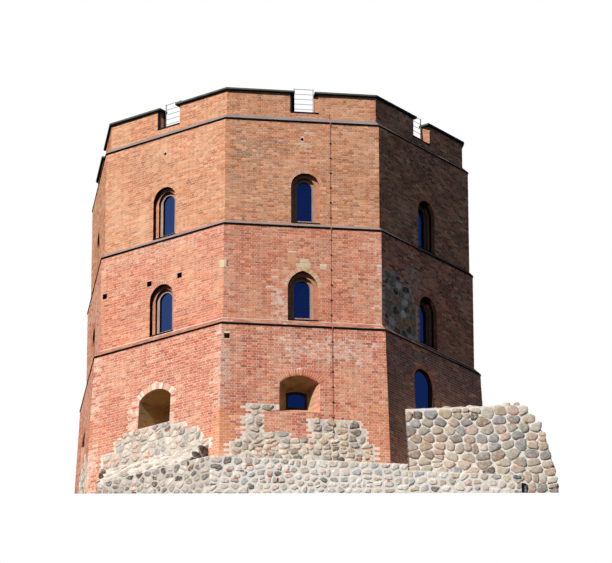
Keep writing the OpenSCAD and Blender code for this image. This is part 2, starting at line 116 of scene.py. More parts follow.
# %% [markdown]
# ## The camera
# The view is from far away and well below the tower's foot, up a hill, through a long lens: the verticals
# stay nearly parallel and each level line of a side face climbs towards the front. The values below were
# fitted to the corners of the ledges and the parapet.

# %% Camera
PHOTO_WIDTH = 612
VIEW_AZIMUTH = math.radians(-7.775)
VIEW_ELEVATION = math.radians(-21.287)
VIEW_ROLL = math.radians(-0.099)
VIEW_DISTANCE = 177.21
VIEW_AIM_RIGHT = 1.115
VIEW_AIM_HEIGHT = 12.086
FOCAL_PIXELS = 4427.4
SENSOR_WIDTH = 36.0
FARTHEST = 2000


def direction(azimuth, elevation):
    """Where something far away lies, by its azimuth from the front and its elevation."""
    return Vector((
        math.sin(azimuth) * math.cos(elevation),
        -math.cos(azimuth) * math.cos(elevation),
        math.sin(elevation)))


view_back = direction(VIEW_AZIMUTH, VIEW_ELEVATION)
level_right = Vector((math.cos(VIEW_AZIMUTH), math.sin(VIEW_AZIMUTH), 0))
level_up = view_back.cross(level_right)
view_right = math.cos(VIEW_ROLL) * level_right + math.sin(VIEW_ROLL) * level_up
view_up = math.cos(VIEW_ROLL) * level_up - math.sin(VIEW_ROLL) * level_right
view_aim = VIEW_AIM_RIGHT * level_right + Vector((0, 0, VIEW_AIM_HEIGHT))
turned = Matrix((view_right, view_up, view_back)).transposed()

bpy.ops.object.select_all(action="DESELECT")
bpy.ops.object.camera_add(location=view_aim + VIEW_DISTANCE * view_back, rotation=turned.to_euler())
camera = bpy.context.object
camera.data.sensor_width = SENSOR_WIDTH
camera.data.lens = FOCAL_PIXELS * SENSOR_WIDTH / PHOTO_WIDTH
camera.data.clip_end = FARTHEST
bpy.context.scene.camera = camera
print("camera at", tuple(round(c, 2) for c in camera.location), "lens", round(camera.data.lens, 1))

# %% [markdown]
# ## Light
# The sun stands high on the left, almost square to the front left face: that face is the brightest, the
# front gets about two thirds of its light, and the front right face lies in shadow, lit only by the sky. A
# sun lamp does this. A second, weaker one from behind keeps the far side readable, and it doesn't reach the
# faces that the front shows. The sky is a faint blue light. Panes mirror a deeper blue, brightest on the
# sun's side, and the view itself is white.

# %% Sun, back light and sky
SUN_AZIMUTH = math.radians(-47.5)
SUN_ELEVATION = math.radians(40)
SUN_STRENGTH = 5.0
SUN_SOFTNESS = math.radians(1.2)
SUN_COLOUR = (1.0, 0.975, 0.94)
BACK_AZIMUTH = math.radians(172)
BACK_ELEVATION = math.radians(32)
BACK_STRENGTH = 2.6
BACK_SOFTNESS = math.radians(20)
SKY_LIGHT = (0.76, 1.0, 1.42, 1)
SKY_STRENGTH = 0.135
# Sky that panes mirror, from the left side to the right side of the tower
MIRRORED_SKY = [(0.06, (0.50, 1.06, 3.4, 1)), (0.50, (0.08, 0.31, 1.85, 1)), (0.95, (0.06, 0.22, 1.1, 1))]


def sun_lamp(name, azimuth, elevation, strength, softness):
    """A sun that shines from an azimuth, measured as the camera's, and an elevation."""
    towards = direction(azimuth, elevation)
    bpy.ops.object.light_add(type="SUN", rotation=towards.to_track_quat("Z", "Y").to_euler())
    lamp = bpy.context.object
    lamp.name = name
    lamp.data.energy = strength
    lamp.data.angle = softness
    return lamp


sun = sun_lamp("sun", SUN_AZIMUTH, SUN_ELEVATION, SUN_STRENGTH, SUN_SOFTNESS)
sun.data.color = SUN_COLOUR
sun_lamp("back_light", BACK_AZIMUTH, BACK_ELEVATION, BACK_STRENGTH, BACK_SOFTNESS)

world = bpy.data.worlds.new("sky")
bpy.context.scene.world = world
world.use_nodes = True
sky = world.node_tree
sky.nodes.clear()
sky_path = sky.nodes.new("ShaderNodeLightPath")
sky_way = sky.nodes.new("ShaderNodeTexCoord")
sky_axes = sky.nodes.new("ShaderNodeSeparateXYZ")
sky_side = sky.nodes.new("ShaderNodeMapRange")
sky_side.inputs["From Min"].default_value = -1
mirrored = sky.nodes.new("ShaderNodeValToRGB")
mirrored.color_ramp.elements.new(0.5)
for stop, (where, colour) in zip(mirrored.color_ramp.elements, MIRRORED_SKY):
    stop.position, stop.color = where, colour
light_ground, mirror_ground, white_ground = (sky.nodes.new("ShaderNodeBackground") for _ in range(3))
light_ground.inputs["Color"].default_value = SKY_LIGHT
light_ground.inputs["Strength"].default_value = SKY_STRENGTH
white_ground.inputs["Color"].default_value = (1, 1, 1, 1)
unseen, sky_mix = (sky.nodes.new("ShaderNodeMixShader") for _ in range(2))
sky_out = sky.nodes.new("ShaderNodeOutputWorld")
SKY_LINKS = [
    (sky_way.outputs["Generated"], sky_axes.inputs["Vector"]),
    (sky_axes.outputs["X"], sky_side.inputs["Value"]),
    (sky_side.outputs["Result"], mirrored.inputs["Fac"]),
    (mirrored.outputs["Color"], mirror_ground.inputs["Color"]),
    (sky_path.outputs["Is Glossy Ray"], unseen.inputs["Fac"]),
    (light_ground.outputs[0], unseen.inputs[1]),
    (mirror_ground.outputs[0], unseen.inputs[2]),
    (sky_path.outputs["Is Camera Ray"], sky_mix.inputs["Fac"]),
    (unseen.outputs[0], sky_mix.inputs[1]),
    (white_ground.outputs[0], sky_mix.inputs[2]),
    (sky_mix.outputs[0], sky_out.inputs["Surface"]),
]
for source, target in SKY_LINKS:
    sky.links.new(source, target)

# %% [markdown]
# ## Nodes for finishes
# Every finish is a Principled shader with a few noise nodes in front of it, all on Object coordinates, so
# that the pattern stays on the tower in any view. A few short helpers keep each recipe readable.

# %% Helpers for finishes
def linear(red, green, blue):
    """A colour written as it looks on a screen, from 0 to 255, as a shader needs it."""
    def channel(c):
        c = c / 255
        return c / 12.92 if c <= 0.04045 else ((c + 0.055) / 1.055) ** 2.4
    return (channel(red), channel(green), channel(blue), 1.0)


def pigment(red, green, blue):
    """The same colour for an array of bricks or stones."""
    return np.array(linear(red, green, blue)[:3])


def new_finish(name, roughness, specular=0.0):
    """A material with its shader and its tree."""
    material = bpy.data.materials.new(name)
    material.use_nodes = True
    tree = material.node_tree
    shader = tree.nodes["Principled BSDF"]
    shader.inputs["Roughness"].default_value = roughness
    shader.inputs["Specular IOR Level"].default_value = specular
    return material, tree, shader


def place(tree, scale=(1, 1, 1)):
    """Object coordinates, stretched by a scale along each axis."""
    where = tree.nodes.new("ShaderNodeTexCoord")
    stretch = tree.nodes.new("ShaderNodeMapping")
    stretch.inputs["Scale"].default_value = scale
    tree.links.new(where.outputs["Object"], stretch.inputs["Vector"])
    return stretch.outputs["Vector"]


def split(tree, source, output):
    """The parts of a vector, as sockets named X, Y and Z."""
    axes = tree.nodes.new("ShaderNodeSeparateXYZ")
    tree.links.new(tree.nodes.new(source).outputs[output], axes.inputs["Vector"])
    return axes.outputs


def axes_of(tree):
    """Where a point lies along each axis of the tower."""
    return split(tree, "ShaderNodeTexCoord", "Object")


def ways_of(tree):
    """How far a surface faces along each axis."""
    return split(tree, "ShaderNodeNewGeometry", "True Normal")


def tone_of(tree):
    """The colour that each brick or stone carries, and the number that rides with it."""
    tone = tree.nodes.new("ShaderNodeAttribute")
    tone.attribute_name = "tone"
    return tone.outputs


def noise(tree, vector, scale, detail=4.0, rough=0.6):
    """A noise value on a vector, with scale in features a metre."""
    node = tree.nodes.new("ShaderNodeTexNoise")
    node.inputs["Scale"].default_value = scale
    node.inputs["Detail"].default_value = detail
    node.inputs["Roughness"].default_value = rough
    tree.links.new(vector, node.inputs["Vector"])
    return node.outputs["Fac"]


def spread(tree, value, low_in, high_in, low_out=0.0, high_out=1.0):
    """A value moved from one range to another and clamped there."""
    node = tree.nodes.new("ShaderNodeMapRange")
    limits = {"From Min": low_in, "From Max": high_in, "To Min": low_out, "To Max": high_out}
    for name, number in limits.items():
        node.inputs[name].default_value = number
    tree.links.new(value, node.inputs["Value"])
    return node.outputs["Result"]


def feed(tree, socket, value):
    """Give an input a link, if the value is a socket, or else the value itself."""
    if isinstance(value, bpy.types.NodeSocket):
        tree.links.new(value, socket)
    else:
        socket.default_value = value


def mixed(tree, factor, first, second, way="MIX"):
    """Two colours mixed by a factor; each may be a colour, a number or a socket."""
    node = tree.nodes.new("ShaderNodeMix")
    node.data_type = "RGBA"
    node.blend_type = way
    for name, value in (("Factor", factor), ("A", first), ("B", second)):
        feed(tree, node.inputs[name], value)
    return node.outputs["Result"]


def calculated(tree, operation, first, second=0.0):
    """One step of arithmetic on sockets or numbers."""
    node = tree.nodes.new("ShaderNodeMath")
    node.operation = operation
    for socket, value in zip(node.inputs, (first, second)):
        feed(tree, socket, value)
    return node.outputs["Value"]


def shade_side_of(tree):
    """How far a surface faces right and down, away from the sun and the rain; it sets where painted shade
    goes.
    """
    ways = ways_of(tree)
    return calculated(tree, "SUBTRACT", ways["X"], ways["Z"])


def coursed(tree, vector, width, row, joint, colours, smooth=0.1):
    """Courses of bricks or slabs in two colours, with joints in the third, on a vector's X and Y."""
    node = tree.nodes.new("ShaderNodeTexBrick")
    sizes = {
        "Scale": 1.0, "Brick Width": width, "Row Height": row, "Mortar Size": joint, "Mortar Smooth": smooth}
    for name, value in [*sizes.items(), *zip(("Color1", "Color2", "Mortar"), colours)]:
        node.inputs[name].default_value = value
    tree.links.new(vector, node.inputs["Vector"])
    return node.outputs["Color"]


def bumped(tree, shader, height, strength, depth):
    """A fine relief on a shader, with its depth in metres."""
    node = tree.nodes.new("ShaderNodeBump")
    node.inputs["Strength"].default_value = strength
    node.inputs["Distance"].default_value = depth
    tree.links.new(height, node.inputs["Height"])
    tree.links.new(node.outputs["Normal"], shader.inputs["Normal"])


def dress(node_names, material):
    """Give CAD nodes a finish."""
    for name in node_names:
        slots = nodes[name].data.materials
        slots.clear()
        slots.append(material)


print("finish helpers ready")

# %% [markdown]
# ## The floor
# The tower is seen from below its own foot, so a plain floor would hide it. The floor is therefore two
# sheets that meet on a level line through the corner of the plinth that is nearest to the viewer. The rear
# sheet is white underneath and cuts the picture off along that line. The front sheet lets the view from
# below through. From above both are one pale floor that takes the tower's shadow, and both reflect little
# light upwards, as the ground of a hill does.

# %% Floor
FLOOR_DROP = 0.004
FLOOR_SIZE = 900.0
nearest_corner = Vector((-PLINTH * HALF_TAN, -PLINTH, 0))


def floor_finish(name, clear_from_below):
    material, tree, shader = new_finish(name, 0.95, 0.0)
    path = tree.nodes.new("ShaderNodeLightPath")
    side = tree.nodes.new("ShaderNodeNewGeometry")
    seen_colour = mixed(tree, path.outputs["Is Camera Ray"], linear(42, 43, 46), linear(236, 236, 234))
    tree.links.new(seen_colour, shader.inputs["Base Color"])
    from_below = calculated(tree, "MULTIPLY", path.outputs["Is Camera Ray"], side.outputs["Backfacing"])
    if clear_from_below:
        other = tree.nodes.new("ShaderNodeBsdfTransparent")
    else:
        other = tree.nodes.new("ShaderNodeEmission")
        other.inputs["Color"].default_value = (1, 1, 1, 1)
    choice = tree.nodes.new("ShaderNodeMixShader")
    tree.links.new(from_below, choice.inputs["Fac"])
    tree.links.new(shader.outputs[0], choice.inputs[1])
    tree.links.new(other.outputs[0], choice.inputs[2])
    tree.links.new(choice.outputs[0], tree.nodes["Material Output"].inputs["Surface"])
    return material


def floor_sheet(name, sign, material):
    """Half of the floor, before the level line through the nearest corner (sign 1) or behind it (-1)."""
    away = Vector((view_back.x, view_back.y, 0)).normalized() * sign
    centre = nearest_corner + away * FLOOR_SIZE / 2
    bpy.ops.object.select_all(action="DESELECT")
    bpy.ops.mesh.primitive_plane_add(
        size=FLOOR_SIZE, location=(centre.x, centre.y, -FLOOR_DROP), rotation=(0, 0, VIEW_AZIMUTH))
    sheet = bpy.context.object
    sheet.name = name
    sheet.data.materials.append(material)


floor_sheet("front_floor", 1, floor_finish("front_floor_finish", True))
floor_sheet("rear_floor", -1, floor_finish("rear_floor_finish", False))
print("floor line passes", tuple(round(c, 2) for c in nearest_corner))

# %% [markdown]
# ## Brick finishes
# The solids of the walls become the mortar, and the bricks are laid on them as real blocks, a few
# millimetres proud. Each brick carries its own colour in an attribute, so that one finish serves them all:
# it only adds soot, fading, lime and grain. Reveals and rooms have no laid bricks, so there the wall's own
# finish shows courses, with painted shade on the sides that face away from the sun and deep inside.

# %% Brick, wall and reveal finishes
COURSE = {"upper": 0.095, "middle": 0.098, "lower": 0.104}
MORTAR_COLOUR = {
    "upper": linear(224, 202, 182),
    "middle": linear(234, 210, 194),
    "lower": linear(238, 218, 204),
}
REVEAL_COLOUR = {
    "upper": (linear(208, 146, 112), linear(186, 126, 94)),
    "middle": (linear(206, 138, 108), linear(182, 116, 90)),
    "lower": (linear(224, 172, 146), linear(206, 140, 112)),
}
REVEAL_MORTAR = linear(198, 166, 144)
REVEAL_BRICK = 0.27
REVEAL_JOINT, REVEAL_SMOOTH = 0.007, 0.3
REVEAL_SKEW = 0.73
LIME_WASH = linear(238, 222, 208)
# Painted shade: what dims the reveals on their sides away from the sun and deep inside; on the lower storey
# it is a painted tint there that cancels reddish bounce light
PAINTED_SHADE_TINT = {"upper": (0.06, 0.06, 0.06, 1), "middle": (0.06, 0.06, 0.06, 1), "lower": (0.72, 1.0, 0.71, 1)}
SHADE_SIDE = (0.25, 0.65)
DEEP, DEEPEST = 0.3, 0.8
FACE_SLACK = 0.004


def brick_finish():
    material, tree, shader = new_finish("brick_finish", 0.9)
    tone = tone_of(tree)
    grain = spread(tree, noise(tree, place(tree), 14, 5), 0.3, 0.7, 0.86, 1.1)
    clay = mixed(tree, 1.0, tone["Color"], grain, "MULTIPLY")
    soot = spread(tree, noise(tree, place(tree), 0.5, 7, 0.7), 0.54, 0.74, 0.0, 0.26)
    sooted = mixed(tree, soot, clay, linear(138, 112, 96))
    faded = spread(tree, noise(tree, place(tree, (1, 1, 0.4)), 1.1, 6, 0.65), 0.48, 0.72, 0.0, 0.4)
    bleached = mixed(tree, faded, sooted, linear(232, 188, 152))
    smeared = calculated(tree, "ADD", noise(tree, place(tree, (1, 1, 1.4)), 5, 6, 0.75),
                         calculated(tree, "MULTIPLY", tone["Alpha"], 0.17))
    washed = mixed(tree, spread(tree, smeared, 0.6, 0.78, 0.0, 0.8), bleached, LIME_WASH)
    tree.links.new(washed, shader.inputs["Base Color"])
    bumped(tree, shader, noise(tree, place(tree), 70, 4, 0.7), 0.5, 0.004)
    return material


def apothem_of(tree, batter):
    """The apothem of the octagon on which a point lies, carried down a leaning wall to its foot."""
    axes = axes_of(tree)
    far_x, far_y = (calculated(tree, "ABSOLUTE", axes[way]) for way in "XY")
    diagonal = calculated(tree, "MULTIPLY", calculated(tree, "ADD", far_x, far_y), math.sqrt(0.5))
    apothem = calculated(tree, "MAXIMUM", calculated(tree, "MAXIMUM", far_x, far_y), diagonal)
    return calculated(tree, "ADD", apothem, calculated(tree, "MULTIPLY", axes["Z"], batter))


def reveal_courses(tree, storey):
    """Courses for walls that face any way, counted along a level line that is skew to all of them."""
    axes = axes_of(tree)
    along = calculated(tree, "ADD", axes["X"], calculated(tree, "MULTIPLY", axes["Y"], REVEAL_SKEW))
    flat = tree.nodes.new("ShaderNodeCombineXYZ")
    tree.links.new(along, flat.inputs["X"])
    tree.links.new(axes["Z"], flat.inputs["Y"])
    colours = (*REVEAL_COLOUR[storey], REVEAL_MORTAR)
    sizes = (REVEAL_BRICK, COURSE[storey], REVEAL_JOINT)
    return coursed(tree, flat.outputs["Vector"], *sizes, colours, REVEAL_SMOOTH)


def wall_finish(name, storey, foot, batter=0):
    """Mortar on the outer face of a wall, brick courses on its reveals and inside, with painted shade where
    they face away from the sun and deep inside.
    """
    material, tree, shader = new_finish(name + "_wall_finish", 0.92)
    apothem = apothem_of(tree, batter)
    is_face = calculated(tree, "GREATER_THAN", apothem, foot - FACE_SLACK)
    # Painted shade: darker on sides away from the sun and deeper in recesses
    deep = spread(tree, apothem, foot - DEEPEST, foot - DEEP, 1.0, 0.0)
    shade_share = calculated(tree, "MAXIMUM", spread(tree, shade_side_of(tree), *SHADE_SIDE), deep)
    shade_tint = mixed(tree, shade_share, (1, 1, 1, 1), PAINTED_SHADE_TINT[storey])
    with_painted_shade = mixed(tree, 1.0, reveal_courses(tree, storey), shade_tint, "MULTIPLY")
    patchy = spread(tree, noise(tree, place(tree), 5, 5), 0.3, 0.72, 0.84, 1.08)
    reveal = mixed(tree, 1.0, with_painted_shade, patchy, "MULTIPLY")
    mortar = mixed(tree, 1.0, MORTAR_COLOUR[storey], patchy, "MULTIPLY")
    tree.links.new(mixed(tree, is_face, reveal, mortar), shader.inputs["Base Color"])
    bumped(tree, shader, noise(tree, place(tree), 55, 4, 0.7), 0.5, 0.004)
    return material


brick = brick_finish()
for storey, foot, batter in (("upper", UPPER, 0), ("middle", MIDDLE, 0), ("lower", LOWER_FOOT, BATTER)):
    dress([f"{storey}_wall_{face}" for face in FACES], wall_finish(storey, storey, foot, batter))
dress(["parapet_wall", "merlons"], wall_finish("parapet", "upper", PARAPET))
print("wall finishes:", [m.name for m in bpy.data.materials if m.name.endswith("wall_finish")])

# %% [markdown]
# ## Sheet, iron, glass, frames and paving
# The ledges are pale stone weatherings with a dark sheet over the drip edge, so their finish goes by
# height; the dark band is drawn wider than the sheet, up onto the slope, as painted shadow that stands in
# for the shadow under the drip, and the slopes carry painted shade where they face away from the sun. The
# copings are dark sheet, paler along their upper edge. The panes are nearly black, because nothing is lit
# behind them, and smooth, so they take their blue from the sky that they mirror.

# %% Finishes of the other solids
# The dark band is the drip sheet, widened up the slope as painted shadow
DRIP_AND_SHADOW_BAND = 0.075
DRIP_SHEET_AND_SHADOW = linear(20, 18, 18)
# Painted shade for ledge slopes that face away from the sun
SHADED_SLOPE = linear(104, 96, 95)
LEDGE_COLOURS = {
    "lower_ledge": (linear(156, 134, 126), linear(132, 117, 113)),
    "middle_ledge": (linear(156, 134, 126), linear(132, 117, 113)),
    "upper_ledge": (linear(150, 134, 129), linear(126, 116, 113)),
}
PALE_ABOVE = 0.035
TOP_BAR = 0.025
FRAME_PAINTED_SHADE = 0.3
SLAB = 0.6
SLAB_JOINT = 0.006


def ledge_finish(name, weathered, stained):
    """Dark sheet along the drip edge, drawn wider as painted shadow, and a weathered slope above it with
    painted shade where it faces away from the sun.
    """
    material, tree, shader = new_finish(name + "_finish", 0.8)
    stain = spread(tree, noise(tree, place(tree, (1, 1, 4)), 1.6, 6, 0.65), 0.35, 0.7)
    # Painted shade: the slope darkens where it faces right, away from the sun
    shaded = spread(tree, ways_of(tree)["X"], 0.1, 0.3)
    slope = mixed(tree, shaded, mixed(tree, stain, weathered, stained), SHADED_SLOPE)
    # Painted shadow: the dark band reaches past the drip sheet, standing in for the shadow under the drip
    clear = calculated(tree, "GREATER_THAN", axes_of(tree)["Z"], low(name).z + DRIP_AND_SHADOW_BAND)
    tree.links.new(mixed(tree, clear, DRIP_SHEET_AND_SHADOW, slope), shader.inputs["Base Color"])
    bumped(tree, shader, noise(tree, place(tree), 40, 3), 0.3, 0.003)
    return material


def coping_finish():
    material, tree, shader = new_finish("coping_finish", 0.6, 0.04)
    # The coping is dark below a line just above its bed and paler above it
    worn = calculated(tree, "GREATER_THAN", axes_of(tree)["Z"], COPING_BED + PALE_ABOVE)
    streaks = spread(tree, noise(tree, place(tree), 3.5, 5), 0.35, 0.7)
    dark = mixed(tree, streaks, linear(18, 18, 17), linear(34, 33, 30))
    edge = mixed(tree, streaks, linear(84, 84, 76), linear(116, 113, 100))
    tree.links.new(mixed(tree, worn, dark, edge), shader.inputs["Base Color"])
    bumped(tree, shader, noise(tree, place(tree, (1, 1, 0.2)), 9, 3), 0.25, 0.004)
    return material


def iron_finish(name, clean, rusty):
    material, tree, shader = new_finish(name, 0.6, 0.05)
    rust = spread(tree, noise(tree, place(tree), 7, 5), 0.45, 0.7)
    tree.links.new(mixed(tree, rust, clean, rusty), shader.inputs["Base Color"])
    bumped(tree, shader, noise(tree, place(tree), 80, 3), 0.3, 0.001)
    return material


def railing_finish():
    """Zinc bars under a dark top bar."""
    material, tree, shader = new_finish("railing_finish", 0.6, 0.05)
    is_top = calculated(tree, "GREATER_THAN", axes_of(tree)["Z"], high("gap_railings").z - TOP_BAR)
    zinc = mixed(tree, is_top, linear(150, 152, 156), linear(52, 52, 50))
    tree.links.new(zinc, shader.inputs["Base Color"])
    return material


def glass_finish():
    material, tree, shader = new_finish("glass_finish", 0.08, 0.5)
    waves = spread(tree, noise(tree, place(tree), 0.9, 2), 0.3, 0.7)
    tree.links.new(mixed(tree, waves, linear(4, 6, 12), linear(7, 10, 20)), shader.inputs["Base Color"])
    bumped(tree, shader, noise(tree, place(tree), 1.5, 2), 0.05, 0.002)
    return material


def frame_finish(name, fresh, worn):
    material, tree, shader = new_finish(name, 0.7)
    wear = spread(tree, noise(tree, place(tree, (1, 1, 0.2)), 8, 5), 0.35, 0.7)
    # Painted shade: the frames' sides that face away from the sun are darkened
    shade_share = spread(tree, shade_side_of(tree), *SHADE_SIDE, 1.0, FRAME_PAINTED_SHADE)
    with_painted_shade = mixed(tree, 1.0, mixed(tree, wear, fresh, worn), shade_share, "MULTIPLY")
    tree.links.new(with_painted_shade, shader.inputs["Base Color"])
    bumped(tree, shader, noise(tree, place(tree, (1, 1, 0.12)), 45, 4), 0.4, 0.002)
    return material


def paving_finish():
    material, tree, shader = new_finish("paving_finish", 0.85)
    colours = (linear(172, 163, 150), linear(148, 141, 132), linear(104, 98, 92))
    slabs = coursed(tree, place(tree), SLAB, SLAB, SLAB_JOINT, colours)
    wear = spread(tree, noise(tree, place(tree), 2.2, 6), 0.3, 0.7, 0.8, 1.1)
    tree.links.new(mixed(tree, 1.0, slabs, wear, "MULTIPLY"), shader.inputs["Base Color"])
    bumped(tree, shader, noise(tree, place(tree), 35, 4), 0.4, 0.003)
    return material


coping = coping_finish()
iron = iron_finish("iron_finish", linear(26, 24, 24), linear(58, 44, 38))
strap_finish = iron_finish("strap_finish", linear(156, 108, 86), linear(176, 122, 96))
beige = frame_finish("beige_frame_finish", linear(182, 152, 134), linear(150, 124, 108))
brown = frame_finish("brown_frame_finish", linear(86, 64, 50), linear(58, 44, 36))
for name, colours in LEDGE_COLOURS.items():
    dress([name], ledge_finish(name, *colours))
dress(["merlon_copings", "window_sills"], coping)
dress(["gap_railings"], railing_finish())
dress(["lightning_conductor"], strap_finish)
dress(["lower_window_glass", "middle_window_glass", "upper_window_glass"], glass_finish())
dress(["middle_window_frames", "upper_window_frames"], beige)
dress(["lower_window_frames"], brown)
dress(["ground_floor", "middle_floor", "upper_floor", "roof_deck"], paving_finish())
print("finishes so far:", len(bpy.data.materials))

# %% [markdown]
# ## Stone finishes
# Field stones also carry their own colours. The finish adds mineral speckle and lime that was smeared over
# them. The bed between them is thick lime mortar, nearly white where it is sheltered and greyer where it is
# exposed.

# %% Stone and lime finishes
def stone_finish():
    material, tree, shader = new_finish("stone_finish", 0.85)
    tone = tone_of(tree)
    mottle = spread(tree, noise(tree, place(tree), 9, 6, 0.8), 0.3, 0.7, 0.64, 1.4)
    rock = mixed(tree, 1.0, tone["Color"], mottle, "MULTIPLY")
    speckle = spread(tree, noise(tree, place(tree), 30, 4, 0.7), 0.56, 0.72, 0.0, 0.5)
    speckled = mixed(tree, speckle, rock, linear(104, 97, 90))
    limed = spread(tree, noise(tree, place(tree), 7, 7, 0.8), 0.5, 0.66, 0.0, 0.85)
    tree.links.new(mixed(tree, limed, speckled, linear(230, 220, 207)), shader.inputs["Base Color"])
    bumped(tree, shader, noise(tree, place(tree), 16, 7, 0.75), 0.8, 0.03)
    return material


def lime_finish():
    material, tree, shader = new_finish("lime_finish", 0.95)
    ways = ways_of(tree)
    exposed = spread(tree, calculated(tree, "SUBTRACT", ways["Z"], ways["X"]), 0.3, 0.6)
    patches = spread(tree, noise(tree, place(tree), 1.4, 6, 0.65), 0.3, 0.72)
    fresh = mixed(tree, patches, linear(254, 248, 241), linear(240, 230, 219))
    worn = mixed(tree, patches, linear(226, 214, 202), linear(188, 176, 165))
    bed = mixed(tree, exposed, fresh, worn)
    grit = spread(tree, noise(tree, place(tree), 26, 6, 0.75), 0.3, 0.75, 0.78, 1.06)
    tree.links.new(mixed(tree, 1.0, bed, grit, "MULTIPLY"), shader.inputs["Base Color"])
    bumped(tree, shader, noise(tree, place(tree), 16, 6, 0.75), 0.5, 0.015)
    return material


stone = stone_finish()
lime = lime_finish()
dress(["rubble_plinth", "low_rubble_wall", "curtain_wall_stub"], lime)
print("stone finishes ready")

# %% [markdown]
# ## Many small things in one mesh
# Tens of thousands of separate bricks would choke any scene. All bricks have the same few faces, so a
# whole storey is one mesh that is filled from arrays: the points of every brick, and one list of faces that
# repeats.

# %% Joined meshes from arrays
def joined(name, points, faces, tones, material, smooth=False):
    """One object from n like shapes, each with m points.

    The points are n by m by 3, the faces index the m points, and the tones are n by 3 or n by 4.
    """
    count, each = points.shape[:2]
    flat = np.concatenate([np.array(f) for f in faces])
    sizes = np.tile([len(f) for f in faces], count)
    corners = (flat[None, :] + each * np.arange(count)[:, None]).ravel()
    mesh = bpy.data.meshes.new(name)
    mesh.vertices.add(count * each)
    mesh.vertices.foreach_set("co", points.astype(np.float32).ravel())
    mesh.loops.add(len(corners))
    mesh.loops.foreach_set("vertex_index", corners.astype(np.int32))
    mesh.polygons.add(len(sizes))
    mesh.polygons.foreach_set("loop_start", (np.cumsum(sizes) - sizes).astype(np.int32))
    mesh.polygons.foreach_set("use_smooth", np.full(len(sizes), smooth))
    mesh.update(calc_edges=True)
    colours = np.zeros((count, each, 4), np.float32)
    colours[:, :, :tones.shape[1]] = np.clip(tones, 0.005, 0.95)[:, None, :]
    tone = mesh.attributes.new("tone", "FLOAT_COLOR", "POINT")
    tone.data.foreach_set("color", colours.ravel())
    mesh.materials.append(material)
    piece = bpy.data.objects.new(name, mesh)
    bpy.context.scene.collection.objects.link(piece)
    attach(piece, "root")
    triangles = count * sum(len(f) - 2 for f in faces)
    print(f"{name}: {count} shapes, {triangles} triangles")


def on_face(face, along, height, depth):
    """Points on a face, from their places along it, their heights and their distances from the axis."""
    turn = face * TURN
    return np.stack([
        along * math.cos(turn) + depth * math.sin(turn),
        along * math.sin(turn) - depth * math.cos(turn),
        height + 0 * along], axis=-1)


print("helpers for joined meshes ready")

# %% [markdown]
# ## Openings that the bricks leave free
# At each height an opening takes a stretch of the course. Under an arch the stretch narrows along the outer
# line of the arch's ring, so the bricks beside it are cut to that curve. Each opening is a small function
# that gives its stretch at a height, with the heights between which it counts.

# %% Shapes of the openings
WINDOW = {"width": 1.12, "height": 2.09, "sill": 0.215, "shift": 0.12}
MIDDLE_WINDOW = {"width": 1.17, "height": 2.04, "sill": 0.34, "rise": 0.62, "radius": 0.82}
EMBRASURE = {"width": 1.55, "spring": 1.14, "rise": 0.335, "sill": 3.82, "shift": -0.18}
TALL = {"width": 1.25, "height": 1.87, "drop": 0.89, "shift": -0.78}
GAP = {"width": 1.13, "inner": 0.83}
RING = 0.135
WIDE_RING = 0.255
POINTED_RING = 0.17


def arc_radius(half, rise):
    """Radius of an arc, from half of its span and its rise."""
    return (half ** 2 + rise ** 2) / (2 * rise)


def round_opening(centre, sill, width, height, ring):
    """Opening under a round arch, with a ring of bricks round the arch."""
    half, spring = width / 2, sill + height - width / 2
    outer = half + ring

    def stretch(z):
        reach = half if z <= spring else math.sqrt(max(outer ** 2 - (z - spring) ** 2, 0))
        return centre - reach, centre + reach
    return {"from": sill, "to": spring + outer, "stretch": stretch}


def segmental_opening(centre, sill, width, spring, rise, ring):
    """Opening under a flat arc, with a ring of bricks that starts on slanting beds."""
    half = width / 2
    radius = arc_radius(half, rise)
    middle = sill + spring + rise - radius
    lean = half / (sill + spring - middle)
    outer = radius + ring

    def stretch(z):
        arc = math.sqrt(max(outer ** 2 - (z - middle) ** 2, 0))
        reach = half if z <= sill + spring else min(arc, half + (z - sill - spring) * lean)
        return centre - reach, centre + reach
    return {"from": sill, "to": middle + outer, "stretch": stretch}


def pointed_centre(width, rise, radius):
    """Centre of a pointed arch's right side, measured from the middle of its springing line."""
    chord = math.hypot(width / 2, rise)
    leg = math.sqrt(radius ** 2 - chord ** 2 / 4)
    return width / 4 - leg * rise / chord, rise / 2 - leg * width / 2 / chord


def pointed_opening(centre, sill, width, height, rise, radius, ring):
    """Opening under a pointed arch of two arcs, with a ring round it."""
    spring = sill + height - rise
    side, drop = pointed_centre(width, rise, radius)
    outer = radius + ring

    def stretch(z):
        arc = side + math.sqrt(max(outer ** 2 - (z - spring - drop) ** 2, 0))
        reach = width / 2 if z <= spring else max(arc, 0)
        return centre - reach, centre + reach
    return {"from": sill, "to": spring + drop + math.sqrt(outer ** 2 - side ** 2), "stretch": stretch}


def square_opening(centre, middle, width, height):
    """A plain hole or block in the brickwork, by its middle."""
    return {"from": middle - height / 2, "to": middle + height / 2,
            "stretch": lambda z: (centre - width / 2, centre + width / 2)}


def shift_of(face):
    return WINDOW["shift"] if face <= FRONT_RIGHT else 0.0


TALL_SILL = MIDDLE_BED - TALL["drop"] - TALL["height"]
upper_sill = UPPER_BED + WINDOW["sill"]
middle_sill = MIDDLE_BED + MIDDLE_WINDOW["sill"]
print(f"window sills at {upper_sill:.2f}, {middle_sill:.2f}, {TALL_SILL:.2f} and {EMBRASURE['sill']:.2f}")

# %% [markdown]
# ## Laying a course
# A mason lays stretchers and headers in turn, shifts every second course and cuts what meets a corner or an
# opening. The function below does the same: it takes the stretches of a course that stay free, walks along
# each with the bond's rhythm, and gives the first and the last brick the slant of what they meet.

